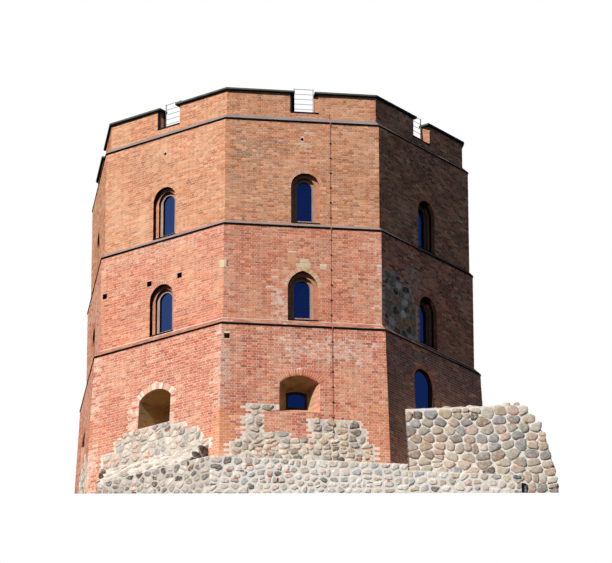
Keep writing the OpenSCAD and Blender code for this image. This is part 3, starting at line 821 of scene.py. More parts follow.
# %% Course by course
JOINT = 0.016
STRETCHER = 0.262
HEADER = 0.124
SHORTEST = 0.05
PROUD = 0.005


def free_stretches(z0, z1, half0, half1, openings):
    """Stretches of one course between the corners and the openings, as left and right ends low and high."""
    free = [(-half0, -half1, half0, half1, z0, z1)]
    for hole in openings:
        if z1 <= hole["from"] or z0 >= hole["to"]:
            continue
        left0, right0 = hole["stretch"](max(z0, hole["from"]))
        left1, right1 = hole["stretch"](min(z1, hole["to"]))
        kept = []
        for l0, l1, r0, r1, a, b in free:
            if right0 <= l0 and right1 <= l1 or left0 >= r0 and left1 >= r1:
                kept.append((l0, l1, r0, r1, a, b))
                continue
            kept.append((l0, l1, left0, left1, a, b))
            kept.append((right0, right1, r0, r1, a, b))
            if hole["from"] - z0 > JOINT * 2:
                kept.append((left0, left0, right0, right0, z0, hole["from"] - JOINT / 3))
        free = kept
    return free


def bricks_along(left, right, number, offset):
    """Joints between the bricks of one stretch, by the bond's rhythm."""
    rhythm = STRETCHER + HEADER + 2 * JOINT
    start = -20 * rhythm + offset + (number % 2) * rhythm / 2
    joints = []
    for k in range(80):
        for joint in (start + k * rhythm, start + k * rhythm + STRETCHER + JOINT):
            if left + SHORTEST < joint < right - SHORTEST:
                joints.append(joint)
    return joints


def half_width(distance):
    """Half of a face's width at its bricks' fronts; a wall's inner side has a distance below 0."""
    return abs(distance + PROUD) * HALF_TAN


def lay_bricks(bottom, top, pitch, depth, openings, offset):
    """Corners of every brick between two heights, as n by 4 by 2 places along the face and heights."""
    quads = []
    number = 0
    while top - (number + 1) * pitch > bottom - pitch / 2:
        z0 = top - (number + 1) * pitch + JOINT / 2
        z1 = top - number * pitch - JOINT / 2
        half0, half1 = half_width(depth(z0)), half_width(depth(z1))
        for l0, l1, r0, r1, a, b in free_stretches(z0, z1, half0, half1, openings):
            left, right = max(l0, l1), min(r0, r1)
            if right - left < SHORTEST / 2:
                continue
            joints = bricks_along(left, right, number, offset)
            starts = [(l0, l1)] + [(j + JOINT / 2,) * 2 for j in joints]
            ends = [(j - JOINT / 2,) * 2 for j in joints] + [(r0, r1)]
            quads += [((s[0], a), (e[0], a), (e[1], b), (s[1], b)) for s, e in zip(starts, ends)]
        number += 1
    return np.array(quads)


print("bond: stretcher", STRETCHER, "header", HEADER, "joint", JOINT)

# %% [markdown]
# ## From corners to blocks
# Each brick becomes a closed block of eight points. Its front stands a few millimetres proud of the mortar,
# its back is sunk into it, and its corners are nudged a little, because hand-made bricks are never square.
# At the tower's corners the blocks are mitred, so that two faces meet in one clean arris.

# %% Brick blocks
BRICK_FACES = [(0, 1, 2, 3), (7, 6, 5, 4), (4, 5, 1, 0), (1, 5, 6, 2), (3, 2, 6, 7), (4, 0, 3, 7)]
SUNK = 0.022
NUDGE = 0.002
rng = np.random.default_rng(1422)


def brick_blocks(face, quads, depth):
    """Blocks on a face from the corners of its bricks; depth gives the wall's distance from the axis."""
    along, height = quads[..., 0], quads[..., 1]
    nudged = along + rng.normal(0, NUDGE, along.shape)
    raised = height + rng.normal(0, NUDGE, height.shape)
    stand = PROUD * rng.uniform(0.5, 1.5, (len(quads), 1)) + rng.normal(0, NUDGE / 2, along.shape)
    rings = []
    for u, z, d in ((nudged, raised, depth(height) + stand), (along, height, depth(height) - SUNK)):
        limit = np.abs(d) * HALF_TAN
        rings.append(on_face(face, np.clip(u, -limit, limit), z, d))
    return np.concatenate(rings, axis=1)


def middles(quads):
    return quads.mean(axis=1)


print("a block has", len(BRICK_FACES), "faces")

# %% [markdown]
# ## Brick colours
# Old brickwork is a patchwork. Every brick draws a clay colour from its storey's range, in proportions that
# suit it, and becomes a little lighter or darker. Broad patches lean to one side of the range, where a wall
# was repaired at another time. Some places are named: rebuilt orange corners, pale arrises, and stretches
# where lime is smeared over the bricks. The amount of lime rides in the fourth number of a brick's colour.

# %% Clay colours and repaired places
CLAY = {
    "upper": [(212, 146, 108), (202, 132, 94), (220, 162, 126), (190, 124, 92), (170, 118, 94)],
    "middle": [(214, 137, 105), (206, 122, 92), (222, 156, 124), (190, 108, 82), (166, 106, 84)],
    "lower": [(208, 130, 100), (200, 116, 88), (218, 154, 125), (186, 104, 80), (160, 102, 84)],
}
CLAY_SHARES = np.array([5, 4, 3, 1, 0.2])
PATCH_SIZE, PATCH_PULL = 1.1, 0.4
SHADY_PATCH_SIZE, SHADY_PATCH_PULL = 0.4, 0.4
VARIATION = {FRONT: 0.12, FRONT_RIGHT: 0.34}
CALM_VARIATION = 0.07
DARKEST, LIGHTEST = 0.5, 1.6
MOST_COURSES = 400
RAGGED = 0.14
GENERAL_LIME = {"upper": 0.0, "middle": 0.1, "lower": 0.15}
ORANGE = pigment(224, 146, 98)
PALE = pigment(226, 196, 176)
GREYED = pigment(200, 180, 164)
DEEP_RED = pigment(200, 108, 84)
DINGY = pigment(150, 112, 90)
OCHRE = pigment(176, 118, 72)
# Painted shade colour for the lower front right face
PAINTED_SHADE_BROWN = pigment(134, 112, 106)
STREAK = 0.06
# Each place: storey, face, left, right, bottom, top, colour, share of bricks that take it, how much, lime
REPAIRS = [
    ("lower", FRONT, -3.4, -2.75, 1.3, 3.75, ORANGE, 0.95, 0.7, 0.2),
    ("lower", FRONT, 2.25, 3.4, 1.3, 4.3, ORANGE, 0.85, 0.5, 0.3),
    ("lower", FRONT, -3.4, -2.9, 3.9, 7.3, GREYED, 0.8, 0.45, 0.6),
    ("lower", FRONT, -0.9, 2.7, 5.95, 6.85, PALE, 0.3, 0.25, 0.8),
    ("lower", FRONT, 1.0, 3.3, 3.3, 5.6, ORANGE, 0.6, 0.4, 0.3),
    ("lower", FRONT, -2.9, -1.2, 4.2, 7.2, DEEP_RED, 0.4, 0.4, 0.2),
    ("lower", FRONT_LEFT, 2.8, 3.4, 1.3, 3.75, ORANGE, 0.95, 0.7, 0.2),
    ("lower", FRONT_LEFT, 2.95, 3.4, 3.9, 7.3, PALE, 0.6, 0.3, 0.7),
    ("lower", FRONT_LEFT, -3.4, -2.9, 4.7, 7.3, PALE, 0.7, 0.4, 0.7),
    ("lower", FRONT_LEFT, -3.3, -1.6, 0.0, 4.0, ORANGE, 0.6, 0.4, 0.3),
    ("lower", FRONT_LEFT, -3.5, -2.85, 1.2, 3.4, PALE, 0.6, 0.4, 1.0),
    ("upper", LEFT, -3.4, 3.4, 11.0, 16.5, PALE, 0.4, 0.4, 0.3),
    ("middle", LEFT, -3.4, 3.4, 7.0, 11.6, PALE, 0.5, 0.5, 0.5),
    ("lower", LEFT, -3.6, 3.6, 0.0, 7.2, PALE, 0.4, 0.4, 0.5),
    ("lower", FRONT_LEFT, 0.95, 2.6, 3.8, 5.6, DEEP_RED, 0.6, 0.5, 0.2),
    ("lower", FRONT_LEFT, -1.15, -0.78, 3.8, 5.0, PALE, 0.8, 0.5, 0.9),
    ("lower", FRONT_LEFT, 0.78, 0.98, 3.8, 5.0, PALE, 0.7, 0.5, 0.9),
    ("middle", FRONT, -3.3, -2.8, 7.4, 11.4, GREYED, 0.5, 0.3, 0.4),
    ("middle", FRONT, 2.85, 3.3, 7.4, 11.4, PALE, 0.5, 0.35, 0.5),
    ("middle", FRONT, -1.22, -0.86, 8.35, 8.95, PALE, 0.5, 0.4, 0.9),
    ("middle", FRONT, -1.02, -0.58, 7.6, 8.5, PALE, 0.4, 0.35, 0.8),
    ("middle", FRONT_LEFT, -3.3, 3.3, 10.9, 11.6, PALE, 0.2, 0.3, 0.5),
    ("upper", FRONT, -1.0, 1.2, 14.3, 15.9, ORANGE, 0.35, 0.45, 0.1),
    ("upper", FRONT, 0.0, 0.25, 14.75, 15.15, PALE, 0.9, 0.6, 0.6),
    ("upper", FRONT, -2.9, -0.6, 13.2, 15.4, DINGY, 0.25, 0.4, 0.1),
    ("upper", FRONT, -2.5, -0.9, 14.4, 15.2, DINGY, 0.5, 0.6, 0.2),
    ("middle", FRONT_RIGHT, 0.6, 3.3, 7.4, 9.4, OCHRE, 0.6, 0.45, 0.1),
    ("middle", FRONT_RIGHT, -1.6, -0.5, 9.3, 10.6, PALE, 0.15, 0.3, 0.9),
    # Painted shade: the whole lower front right face is dulled to a grey brown
    ("lower", FRONT_RIGHT, -3.6, 3.6, 0.0, 7.4, PAINTED_SHADE_BROWN, 0.85, 0.6, 0.2),
    ("lower", FRONT_RIGHT, -3.4, -1.4, 2.6, 5.6, OCHRE, 0.4, 0.4, 0.1),
    ("lower", FRONT_RIGHT, -0.2, 1.6, 3.6, 4.6, OCHRE, 0.4, 0.4, 0.4),
]


def patches(face, along, height, size):
    """A smooth value from -1 to 1 that drifts over a face, for broad repairs."""
    phase = 1.7 * face
    return (np.sin(along / size + phase) * np.cos(height / size * 1.3 - phase)
            + 0.6 * np.sin((along * 0.7 + height) / size * 2.1 + 2 * phase)) / 1.6


def clay_tones(storey, face, quads):
    """A colour and an amount of lime for every brick."""
    along, height = middles(quads).T
    colours = np.array([pigment(*c) for c in CLAY[storey]])
    picked = colours[rng.choice(len(colours), len(quads), p=CLAY_SHARES / CLAY_SHARES.sum())]
    drift = patches(face, along, height, PATCH_SIZE)[:, None]
    leaning = np.where(drift > 0, colours[2], colours[1])
    tones = picked + (leaning - picked) * np.abs(drift) * PATCH_PULL
    fired = rng.normal(1.0, VARIATION.get(face, CALM_VARIATION), (len(quads), 1))
    tones = tones * np.clip(fired, DARKEST, LIGHTEST)
    starts = rng.uniform(0, 2 * math.pi, MOST_COURSES)[np.round(height / COURSE[storey]).astype(int)]
    tones *= 1 + STREAK * np.sin(1.3 * along + starts)[:, None]
    if face == FRONT_RIGHT:
        tones *= 1 + SHADY_PATCH_PULL * patches(face, along, height, SHADY_PATCH_SIZE)[:, None]
    limed = np.full(len(quads), GENERAL_LIME[storey])
    for name, on, left, right, bottom, top, colour, share, strength, amount in REPAIRS:
        if (name, on) != (storey, face):
            continue
        ragged = rng.normal(0, RAGGED, (2, len(quads)))
        within = (along + ragged[0] > left) & (along + ragged[0] < right)
        within &= (height + ragged[1] > bottom) & (height + ragged[1] < top)
        limed[within] = amount
        taken = within & (rng.random(len(quads)) < share)
        tones[taken] += (colour - tones[taken]) * strength
    return np.column_stack([tones, limed])


print("repaired places:", len(REPAIRS))

# %% [markdown]
# ## Where the brick skin has fallen
# Below the lower windows, and in one place of the middle storey, the brick skin is gone and the rubble core
# shows. The core is field stones in rough, wavy courses, so a scar is an outline on a face and the places
# for stones that lie in it. A brick stays only if its middle and its ends lie in none of these places: the
# edge of the scar steps in and out stone by stone, as a torn wall does.

# %% Courses of rubble and the scars
SCARS = {
    ("lower", FRONT): [
        (-2.8, 1.3), (-2.6, 2.4), (-2.3, 2.9), (-2.25, 4.05), (-1.05, 4.05), (-1.05, 3.78), (-1.7, 3.7),
        (-1.5, 3.05), (-0.6, 2.75), (0.25, 2.8), (0.42, 3.62), (1.95, 3.55), (2.05, 2.95), (2.55, 2.6),
        (2.6, 1.3)],
    ("lower", FRONT_LEFT): [
        (-2.45, 2.3), (-2.3, 2.9), (-1.46, 3.8), (0.8, 3.8), (0.88, 3.62), (2.15, 3.4), (2.7, 2.7),
        (2.75, 2.3)],
    ("lower", LEFT): [
        (-1.5, 1.2), (-1.9, 2.1), (-1.4, 2.9), (-0.7, 3.3), (0.1, 3.9), (0.9, 3.6), (1.5, 3.95), (2.1, 3.5),
        (2.75, 3.3), (3.0, 2.4), (2.85, 1.5), (2.2, 0.9), (1.2, 1.2), (0.3, 0.8), (-0.6, 1.3)],
    ("middle", FRONT_RIGHT): [(-2.85, 7.5), (-2.85, 9.95), (-1.7, 9.95), (-1.0, 9.15), (-0.82, 7.5)],
}
SCAR_ROW = 0.26
SCAR_STONE = 0.4
SCAR_SPILL = 0.12
WAVE = 0.07
# Ranges for the heights of rows, the lengths of stones and the place where a stone is split in two
ROW_RANGE = (0.7, 1.3)
STONE_RANGE = (0.5, 1.6)
SPLIT_RANGE = (0.4, 0.6)
SPLIT_CHANCE = 0.25
SPLIT_BELOW = 0.75
LAST_STONE = 0.4
NO_STONE = 0.02


def inside(outline, x, y):
    """Whether a point lies in an outline."""
    answer = False
    for (x0, y0), (x1, y1) in zip(outline, outline[1:] + outline[:1]):
        if (y0 > y) != (y1 > y) and x < (x1 - x0) * (y - y0) / (y1 - y0) + x0:
            answer = not answer
    return answer


def rubble_places(left, right, bottom, top_at, row, wide, end_at=None, spill=0.4):
    """Places for stones in rough courses: four limits of each place, and four that its stone may spill to."""
    count = max(1, round((max(top_at(left), top_at(right)) - bottom) / row))
    beds = np.cumsum(np.concatenate([[0], rng.uniform(*ROW_RANGE, count)]))
    beds /= beds[-1]
    phase = rng.uniform(0, 6)
    places = []
    for bed0, bed1 in zip(beds, beds[1:]):
        x = left
        last = end_at(bottom + (bed0 + bed1) / 2 * (top_at(right) - bottom)) if end_at else right
        while x < last - NO_STONE:
            end = x + wide * rng.uniform(*STONE_RANGE)
            end = last if last - end < LAST_STONE * wide else end
            middle = (x + end) / 2
            rise = top_at(middle) - bottom
            wave = WAVE * math.sin(1.6 * middle + phase)
            z0, z1 = (bottom + bed * rise + 4 * bed * (1 - bed) * wave for bed in (bed0, bed1))
            limits = [max(left, x - spill * wide), min(last, end + spill * wide),
                      z0 - spill * row * (bed0 > 0), z1 + spill * row * (bed1 < 1)]
            if end - x < SPLIT_BELOW * wide and rng.random() < SPLIT_CHANCE:
                bed = z0 + (z1 - z0) * rng.uniform(*SPLIT_RANGE)
                places += [(x, end, z0, bed, *limits), (x, end, bed, z1, *limits)]
            else:
                places.append((x, end, z0, z1, *limits))
            x = end
    return np.array(places)


scar_places, in_scar = {}, {}
for key, outline in SCARS.items():
    xs, ys = zip(*outline)
    found = rubble_places(
        min(xs), max(xs), min(ys), lambda x: max(ys), SCAR_ROW, SCAR_STONE, spill=SCAR_SPILL)
    scar_places[key] = found
    in_scar[key] = np.array([
        inside(outline, (x0 + x1) / 2, (z0 + z1) / 2) for x0, x1, z0, z1 in found[:, :4]])


def outside_scar(storey, face, quads):
    """Which bricks stay: those whose middle and ends lie in no place of a scar."""
    stay = np.ones(len(quads), bool)
    key = (storey, face)
    if key in SCARS:
        spots = [middles(quads), quads[:, [0, 3]].mean(axis=1), quads[:, [1, 2]].mean(axis=1)]
        for x0, x1, z0, z1 in scar_places[key][in_scar[key], :4]:
            for spot in spots:
                stay &= ~((spot[:, 0] > x0) & (spot[:, 0] < x1) & (spot[:, 1] > z0) & (spot[:, 1] < z1))
    return stay


print("scars:", [(storey, FACES[face], int(held.sum())) for (storey, face), held in in_scar.items()])

# %% [markdown]
# ## The brick skin of each storey
# Now the storeys can be laid, face by face. The holes left by scaffolding, the drains and a few pale stone
# blocks that fill such holes on the front are openings too.

# %% Lay the storeys
DRAIN = {"drop": 0.73, "size": 0.135}
PUTLOG = {"rise": 0.17, "size": 0.225, "corner": 0.20, "places": (-0.62, 0.88)}
CORNER_HOLE_DROP = 0.51
# Each block: storey, face, place along the face, height, width, how tall it is, finish
PALE_BLOCKS = [
    ("middle", FRONT, -2.99, 9.83, 0.11, 0.27, "yellow"),
    ("middle", FRONT_LEFT, 2.93, 9.83, 0.20, 0.27, "yellow"),
    ("middle", FRONT, 2.95, 9.88, 0.17, 0.29, "pink"),
    ("middle", FRONT, 0.785, 9.85, 0.26, 0.19, "yellow"),
    ("middle", FRONT, 0.02, 9.90, 0.56, 0.19, "yellow"),
    ("middle", FRONT, 0.06, 10.10, 0.36, 0.19, "yellow"),
    ("middle", FRONT, -0.42, 10.21, 0.34, 0.46, "tan"),
    ("middle", FRONT, -1.08, 9.36, 0.27, 0.09, "yellow"),
    ("middle", FRONT, 2.70, 8.18, 0.17, 0.20, "tan"),
    # A black block in a narrow slit: painted shadow
    ("middle", FRONT, -2.92, 9.86, 0.045, 0.28, "black"),
]
PLINTH_REACH = 2.25
PLINTH_BREAK = 0.55
CAPPING_REACH = 2.7
STUB_DIP = 0.5
BURIED = 0.1
BRICKS_FROM = 0.02
NEAR_FACES = (LEFT, FRONT_LEFT, FRONT, FRONT_RIGHT)
FAR_FACES = tuple(face for face in ALL_FACES if face not in NEAR_FACES)
putlog_height = middle_sill + MIDDLE_WINDOW["height"] + PUTLOG["rise"]


def upper_openings(face):
    window = round_opening(shift_of(face), upper_sill, WINDOW["width"], WINDOW["height"], RING)
    return [window, square_opening(0, PARAPET_BED - DRAIN["drop"], DRAIN["size"], DRAIN["size"])]


def middle_openings(face):
    if face == FRONT:
        size = MIDDLE_WINDOW
        found = [pointed_opening(
            0, middle_sill, size["width"], size["height"], size["rise"], size["radius"], POINTED_RING)]
    else:
        found = [round_opening(0, middle_sill, MIDDLE_WINDOW["width"], MIDDLE_WINDOW["height"], RING)]
    if face > FRONT_RIGHT:
        corner = PUTLOG["corner"] - MIDDLE * HALF_TAN
        found += [square_opening(along, putlog_height, PUTLOG["size"], PUTLOG["size"])
                  for along in (corner, *PUTLOG["places"])]
    return found


def lower_openings(face):
    if face == FRONT_RIGHT:
        return [round_opening(TALL["shift"], TALL_SILL, TALL["width"], TALL["height"], RING)]
    centre = EMBRASURE["shift"] if face == FRONT else 0
    found = [segmental_opening(
        centre, EMBRASURE["sill"], EMBRASURE["width"], EMBRASURE["spring"], EMBRASURE["rise"], WIDE_RING)]
    if face == FRONT:
        corner = PUTLOG["corner"] - LOWER_TOP * HALF_TAN
        found.append(square_opening(corner, MIDDLE_BED - CORNER_HOLE_DROP, PUTLOG["size"], PUTLOG["size"]))
    return found


def in_the_open(face, quads):
    """Which bricks of the lower storey stand clear of the rubble in front of them."""
    along, height = middles(quads).T
    if face == FRONT:
        return height > PLINTH_HEIGHT - BURIED
    if face == FRONT_LEFT:
        top = np.where(along < CAPPING_REACH, PLINTH_CAP, PLINTH_HEIGHT) - BURIED
        return (along < -PLINTH_REACH) | (height > top)
    if face == FRONT_RIGHT:
        from_front = (along - lower_face(height)) * math.sqrt(0.5)
        top = np.where(from_front < -STUB_FRONT, LOW_WALL_HEIGHT, STUB_TOP - STUB_DIP) - BURIED
        return (from_front > -STUB_BACK - BURIED) | (height > top)
    return height > 0


def storey_skin(storey, bottom, top, depth, openings_of, halves):
    """All the bricks of one storey, as a piece for each group of faces."""
    for name, group in halves.items():
        blocks, tones = [], []
        for face in group:
            holes = openings_of(face)
            holes += [square_opening(*block[2:6]) for block in PALE_BLOCKS if block[:2] == (storey, face)]
            quads = lay_bricks(bottom, top, COURSE[storey], depth, holes, rng.uniform(0, STRETCHER))
            quads = quads[outside_scar(storey, face, quads)]
            if storey == "lower":
                quads = quads[in_the_open(face, quads)]
            blocks.append(brick_blocks(face, quads, depth))
            tones.append(clay_tones(storey, face, quads))
        joined(name, np.concatenate(blocks), BRICK_FACES, np.concatenate(tones), brick)


storey_skin("upper", high("middle_ledge").z, low("upper_ledge").z, upper_face, upper_openings,
            {"upper_bricks": ALL_FACES})
storey_skin("middle", high("lower_ledge").z, low("middle_ledge").z, middle_face, middle_openings,
            {"middle_bricks": ALL_FACES})
storey_skin("lower", BRICKS_FROM, low("lower_ledge").z, lower_face, lower_openings,
            {"lower_bricks_near": NEAR_FACES, "lower_bricks_far": FAR_FACES})

# %% [markdown]
# ## Bricks on the lower ledge
# The lower ledge is so deep that its slope is paved with bricks, down to a strip of bare stone over the
# drip edge. The courses are laid like those of a wall. Only the wall's distance from the axis now grows
# quickly downwards.

# %% Pave the lower ledge
PAVED_FROM = 0.05
PAVED_COURSE = 0.073
# Painted shade on the paved bricks: some on every face, more on the faces away from the sun
PAVED_SHADE = 0.72
AWAY_SIDE_PAINTED_SHADE = 0.16
ledge_edge = -low("lower_ledge").y
ledge_top = high("lower_ledge").z
ledge_foot = max(v.co.z for v in nodes["lower_ledge"].data.vertices if v.co.y < 0.001 - ledge_edge)


def ledge_face(z):
    """Distance of the lower ledge's slope from the axis."""
    return MIDDLE + (ledge_edge - MIDDLE) * (ledge_top - z) / (ledge_top - ledge_foot)


blocks, tones = [], []
for face in ALL_FACES:
    offset = rng.uniform(0, STRETCHER)
    quads = lay_bricks(ledge_foot + PAVED_FROM, ledge_top, PAVED_COURSE, ledge_face, [], offset)
    blocks.append(brick_blocks(face, quads, ledge_face))
    # Painted shade: the front right face and the next one, away from the sun, are darkened most
    shade = AWAY_SIDE_PAINTED_SHADE if face in (FRONT_RIGHT, FRONT_RIGHT + 1) else PAVED_SHADE
    tones.append(clay_tones("middle", face, quads) * np.array([shade, shade, shade, 1]))
joined("ledge_bricks", np.concatenate(blocks), BRICK_FACES, np.concatenate(tones), brick)

# %% [markdown]
# ## The parapet, outside and inside
# The parapet has one splayed gap in each face. Its inner side shows from the roof, so it is bricked as
# well.

# %% Lay the parapet
OUTER_OFFSET, INNER_OFFSET = 0.1, 0.0
BEHIND = len(FACES) // 2


def gap_opening(centre, width):
    return {"from": SILL_BED, "to": COPING_TOP, "stretch": lambda z: (centre - width / 2, centre + width / 2)}


blocks, tones = [], []
for face in ALL_FACES:
    gap = gap_opening(shift_of(face), GAP["width"])
    outer = lay_bricks(
        high("upper_ledge").z, COPING_BED, COURSE["upper"], parapet_face, [gap], OUTER_OFFSET)
    gap = gap_opening(-shift_of(face), GAP["inner"])
    inner = lay_bricks(
        high("roof_deck").z, COPING_BED, COURSE["upper"], inner_parapet_face, [gap], INNER_OFFSET)
    blocks.append(brick_blocks(face, outer, parapet_face))
    blocks.append(brick_blocks(face + BEHIND, inner, inner_parapet_face))
    tones += [clay_tones("upper", face, outer), clay_tones("upper", face, inner)]
joined("parapet_bricks", np.concatenate(blocks), BRICK_FACES, np.concatenate(tones), brick)

# %% [markdown]
# ## Rings of bricks over the arches
# Over an arch the bricks stand on edge and point at the centre of the curve. A ring is a row of wedges
# between two radii, laid from one springing to the other. The pointed arch has two rings that lean on each
# other, with a pale stone in the peak, and one side of it is cream where it was rebuilt. The blind arch is
# whitewashed.

# %% Voussoir rings
WEDGE = 0.078
RING_LIME = 0.25
RING_VARIATION = 0.06
PEAK_STAND = 0.01
CREAM = [(210, 182, 140), (200, 170, 128), (216, 192, 152)]
CREAM_PINK = [(214, 158, 126), (208, 142, 110), (218, 178, 148)]
WHITEWASH = [(236, 220, 206), (222, 172, 148), (214, 150, 122)]
RED_RING = [(206, 122, 92), (214, 138, 106), (196, 108, 80)]
TAN_RING = [(212, 146, 108), (220, 156, 116), (202, 130, 94)]


def ring_of(centre, middle, inner, outer, start, end):
    """Wedges of a ring about a centre, between two angles from the level, as corners of bricks."""
    count = max(2, round((end - start) * inner / WEDGE))
    edges = np.linspace(start, end, count + 1)
    trim = JOINT / 2 / inner
    a, b = edges[:-1] + trim, edges[1:] - trim
    corner = [(inner, a), (outer, a), (outer, b), (inner, b)]
    return np.stack([
        np.stack([centre + r * np.cos(t), middle + r * np.sin(t)], axis=-1) for r, t in corner], axis=1)


def painted(quads, colours):
    """A colour from a short list for every wedge."""
    choice = np.array([pigment(*c) for c in colours])[rng.integers(0, len(colours), len(quads))]
    tones = choice * rng.normal(1, RING_VARIATION, (len(quads), 1))
    return np.column_stack([tones, np.full(len(quads), RING_LIME)])


ring_blocks, ring_tones = [], []


def add_ring(face, quads, depth, colours):
    ring_blocks.append(brick_blocks(face, quads, depth))
    ring_tones.append(painted(quads, colours))


def round_ring(face, centre, sill, width, height, depth, colours):
    half = width / 2
    quads = ring_of(centre, sill + height - half, half, half + RING, 0, math.pi)
    add_ring(face, quads, depth, colours)


def segmental_ring(face, centre, colours):
    half, rise = EMBRASURE["width"] / 2, EMBRASURE["rise"]
    radius = arc_radius(half, rise)
    middle = EMBRASURE["sill"] + EMBRASURE["spring"] + rise - radius
    swing = math.asin(half / radius)
    quads = ring_of(centre, middle, radius, radius + WIDE_RING, math.pi / 2 - swing, math.pi / 2 + swing)
    add_ring(face, quads, lower_face, colours)


def pointed_ring(face, colours_right, colours_left):
    size = MIDDLE_WINDOW
    side, drop = pointed_centre(size["width"], size["rise"], size["radius"])
    spring = middle_sill + size["height"] - size["rise"]
    start = math.atan2(-drop, size["width"] / 2 - side)
    end = math.atan2(size["rise"] - drop, -side)
    right = ring_of(side, spring + drop, size["radius"], size["radius"] + POINTED_RING, start, end)
    left = right[:, ::-1] * np.array([-1, 1])
    add_ring(face, right, middle_face, colours_right)
    add_ring(face, left, middle_face, colours_left)
    top = size["radius"] + POINTED_RING
    wing = (side + top * math.cos(end), spring + drop + top * math.sin(end))
    peak = (0.0, spring + drop + math.sqrt(top ** 2 - side ** 2) + PEAK_STAND)
    keystone = np.array([[(0.0, spring + size["rise"] + JOINT), wing, peak, (-wing[0], wing[1])]])
    add_ring(face, keystone, middle_face, CREAM)


for face in ALL_FACES:
    round_ring(face, shift_of(face), upper_sill, WINDOW["width"], WINDOW["height"], upper_face, TAN_RING)
    if face == FRONT:
        pointed_ring(face, CREAM, CREAM_PINK)
    else:
        width, height = MIDDLE_WINDOW["width"], MIDDLE_WINDOW["height"]
        round_ring(face, 0, middle_sill, width, height, middle_face, RED_RING)
    if face == FRONT_RIGHT:
        round_ring(face, TALL["shift"], TALL_SILL, TALL["width"], TALL["height"], lower_face, RED_RING)
    else:
        centre = EMBRASURE["shift"] if face == FRONT else 0
        segmental_ring(face, centre, WHITEWASH if face == FRONT_LEFT else RED_RING)
blocks, tones = np.concatenate(ring_blocks), np.concatenate(ring_tones)
joined("arch_ring_bricks", blocks, BRICK_FACES, tones, brick)

# %% [markdown]
# ## Field stones
# Masons fit each stone to its neighbours. So every place in a course gets a point, and a stone takes all
# that lies nearer to its point than to any other, less half a joint. The corners of that cell are broken,
# and the stone is built up in five rings: a sunk back, the line where it leaves the mortar, and a low dome,
# nearly flat on top.

# %% Outlines and domes
SIDES = 12
# Each ring of a stone: share of its outline, and share of its bulge or, below the mortar, its depth
DOME = [(0.92, -0.07), (1.0, -0.004), (0.965, 0.6), (0.86, 0.95), (0.45, 1.0)]
CROWN = 1.04
BROKEN_CORNER = 0.2
OUTLINE_JITTER = 0.011
DOME_JITTER = 0.006
DOME_VARIATION = 0.08
TILT = 1.4
WANDER = 0.1
NEIGHBOURS = 16
SMALLEST = 0.02
STONE_FACES = [tuple(range(SIDES))[::-1]]
for ring in range(len(DOME) - 1):
    for k in range(SIDES):
        STONE_FACES.append((
            ring * SIDES + k, ring * SIDES + (k + 1) % SIDES,
            (ring + 1) * SIDES + (k + 1) % SIDES, (ring + 1) * SIDES + k))
crown = len(DOME) * SIDES
STONE_FACES += [(crown - SIDES + k, crown - SIDES + (k + 1) % SIDES, crown) for k in range(SIDES)]


def cut(outline, point, way):
    """What is left of an outline behind a line through a point, square to a way."""
    side = (outline - point) @ way
    kept = []
    for k in range(len(outline)):
        after = (k + 1) % len(outline)
        if side[k] <= 0:
            kept.append(outline[k])
        if (side[k] <= 0) != (side[after] <= 0):
            kept.append(outline[k] + (outline[after] - outline[k]) * side[k] / (side[k] - side[after]))
    return np.array(kept)


def rounded(outline, loose):
    """An outline with broken corners, as SIDES points, made smaller by a share of up to loose."""
    ahead = np.roll(outline, -1, axis=0)
    shares = (BROKEN_CORNER, 1 - BROKEN_CORNER)
    closed = np.stack([outline * (1 - share) + ahead * share for share in shares], axis=1).reshape(-1, 2)
    closed = np.concatenate([closed, closed[:1]])
    walked = np.concatenate([[0], np.cumsum(np.hypot(*np.diff(closed, axis=0).T))])
    stops = (np.arange(SIDES) + rng.random()) / SIDES * walked[-1]
    found = np.stack([np.interp(stops, walked, closed[:, k]) for k in (0, 1)], axis=1)
    middle = found.mean(axis=0)
    smaller = rng.uniform(1 - loose, 1)
    return middle + (found - middle) * smaller + rng.normal(0, OUTLINE_JITTER, found.shape)


def rectangle(left, right, bottom, top):
    return np.array([(left, bottom), (right, bottom), (right, top), (left, top)])


def stone_outlines(places, joint, loose):
    """A cell about a point in each place: what lies nearer to it than to any other, less half a joint.

    With them come the middles of the joints to the nearest neighbours, and the ways to those neighbours.
    """
    size = np.stack([places[:, 1] - places[:, 0], places[:, 3] - places[:, 2]], axis=1)
    points = np.stack([places[:, 0] + places[:, 1], places[:, 2] + places[:, 3]], axis=1) / 2
    points = points + rng.uniform(-1, 1, size.shape) * size * (WANDER + loose)
    outlines, joints = [], []
    for point, limits in zip(points, places[:, 4:]):
        outline = rectangle(*limits)
        away = points - point
        far = np.hypot(*away.T)
        nearest = np.argsort(far)[1:NEIGHBOURS + 1]
        for k in nearest:
            way = away[k] / far[k]
            outline = cut(outline, point + way * max(SMALLEST, (far[k] - joint) / 2), way)
        outlines.append(rounded(outline, loose))
        step = away[nearest[0]] if len(nearest) else np.zeros(2)
        joints.append((point + step / 2, step))
    return np.array(outlines), np.array(joints)


def stone_points(outline, bulge):
    """All points of one stone: places on the wall and heights above it."""
    middle = outline.mean(0)
    tilt = rng.uniform(-TILT, TILT, 2)
    rings = []
    for share, rise in DOME:
        flat = middle + (outline - middle) * share
        lift = np.full(SIDES, rise)
        if rise > 0:
            flat = flat + rng.normal(0, DOME_JITTER, flat.shape)
            lift = rise * bulge * (1 + ((flat - middle) @ tilt)) * rng.normal(1, DOME_VARIATION, SIDES)
        rings.append(np.column_stack([flat, lift]))
    rings.append([[middle[0], middle[1], CROWN * bulge]])
    return np.concatenate(rings)


print("a stone has", crown + 1, "points and", sum(len(f) - 2 for f in STONE_FACES), "triangles")

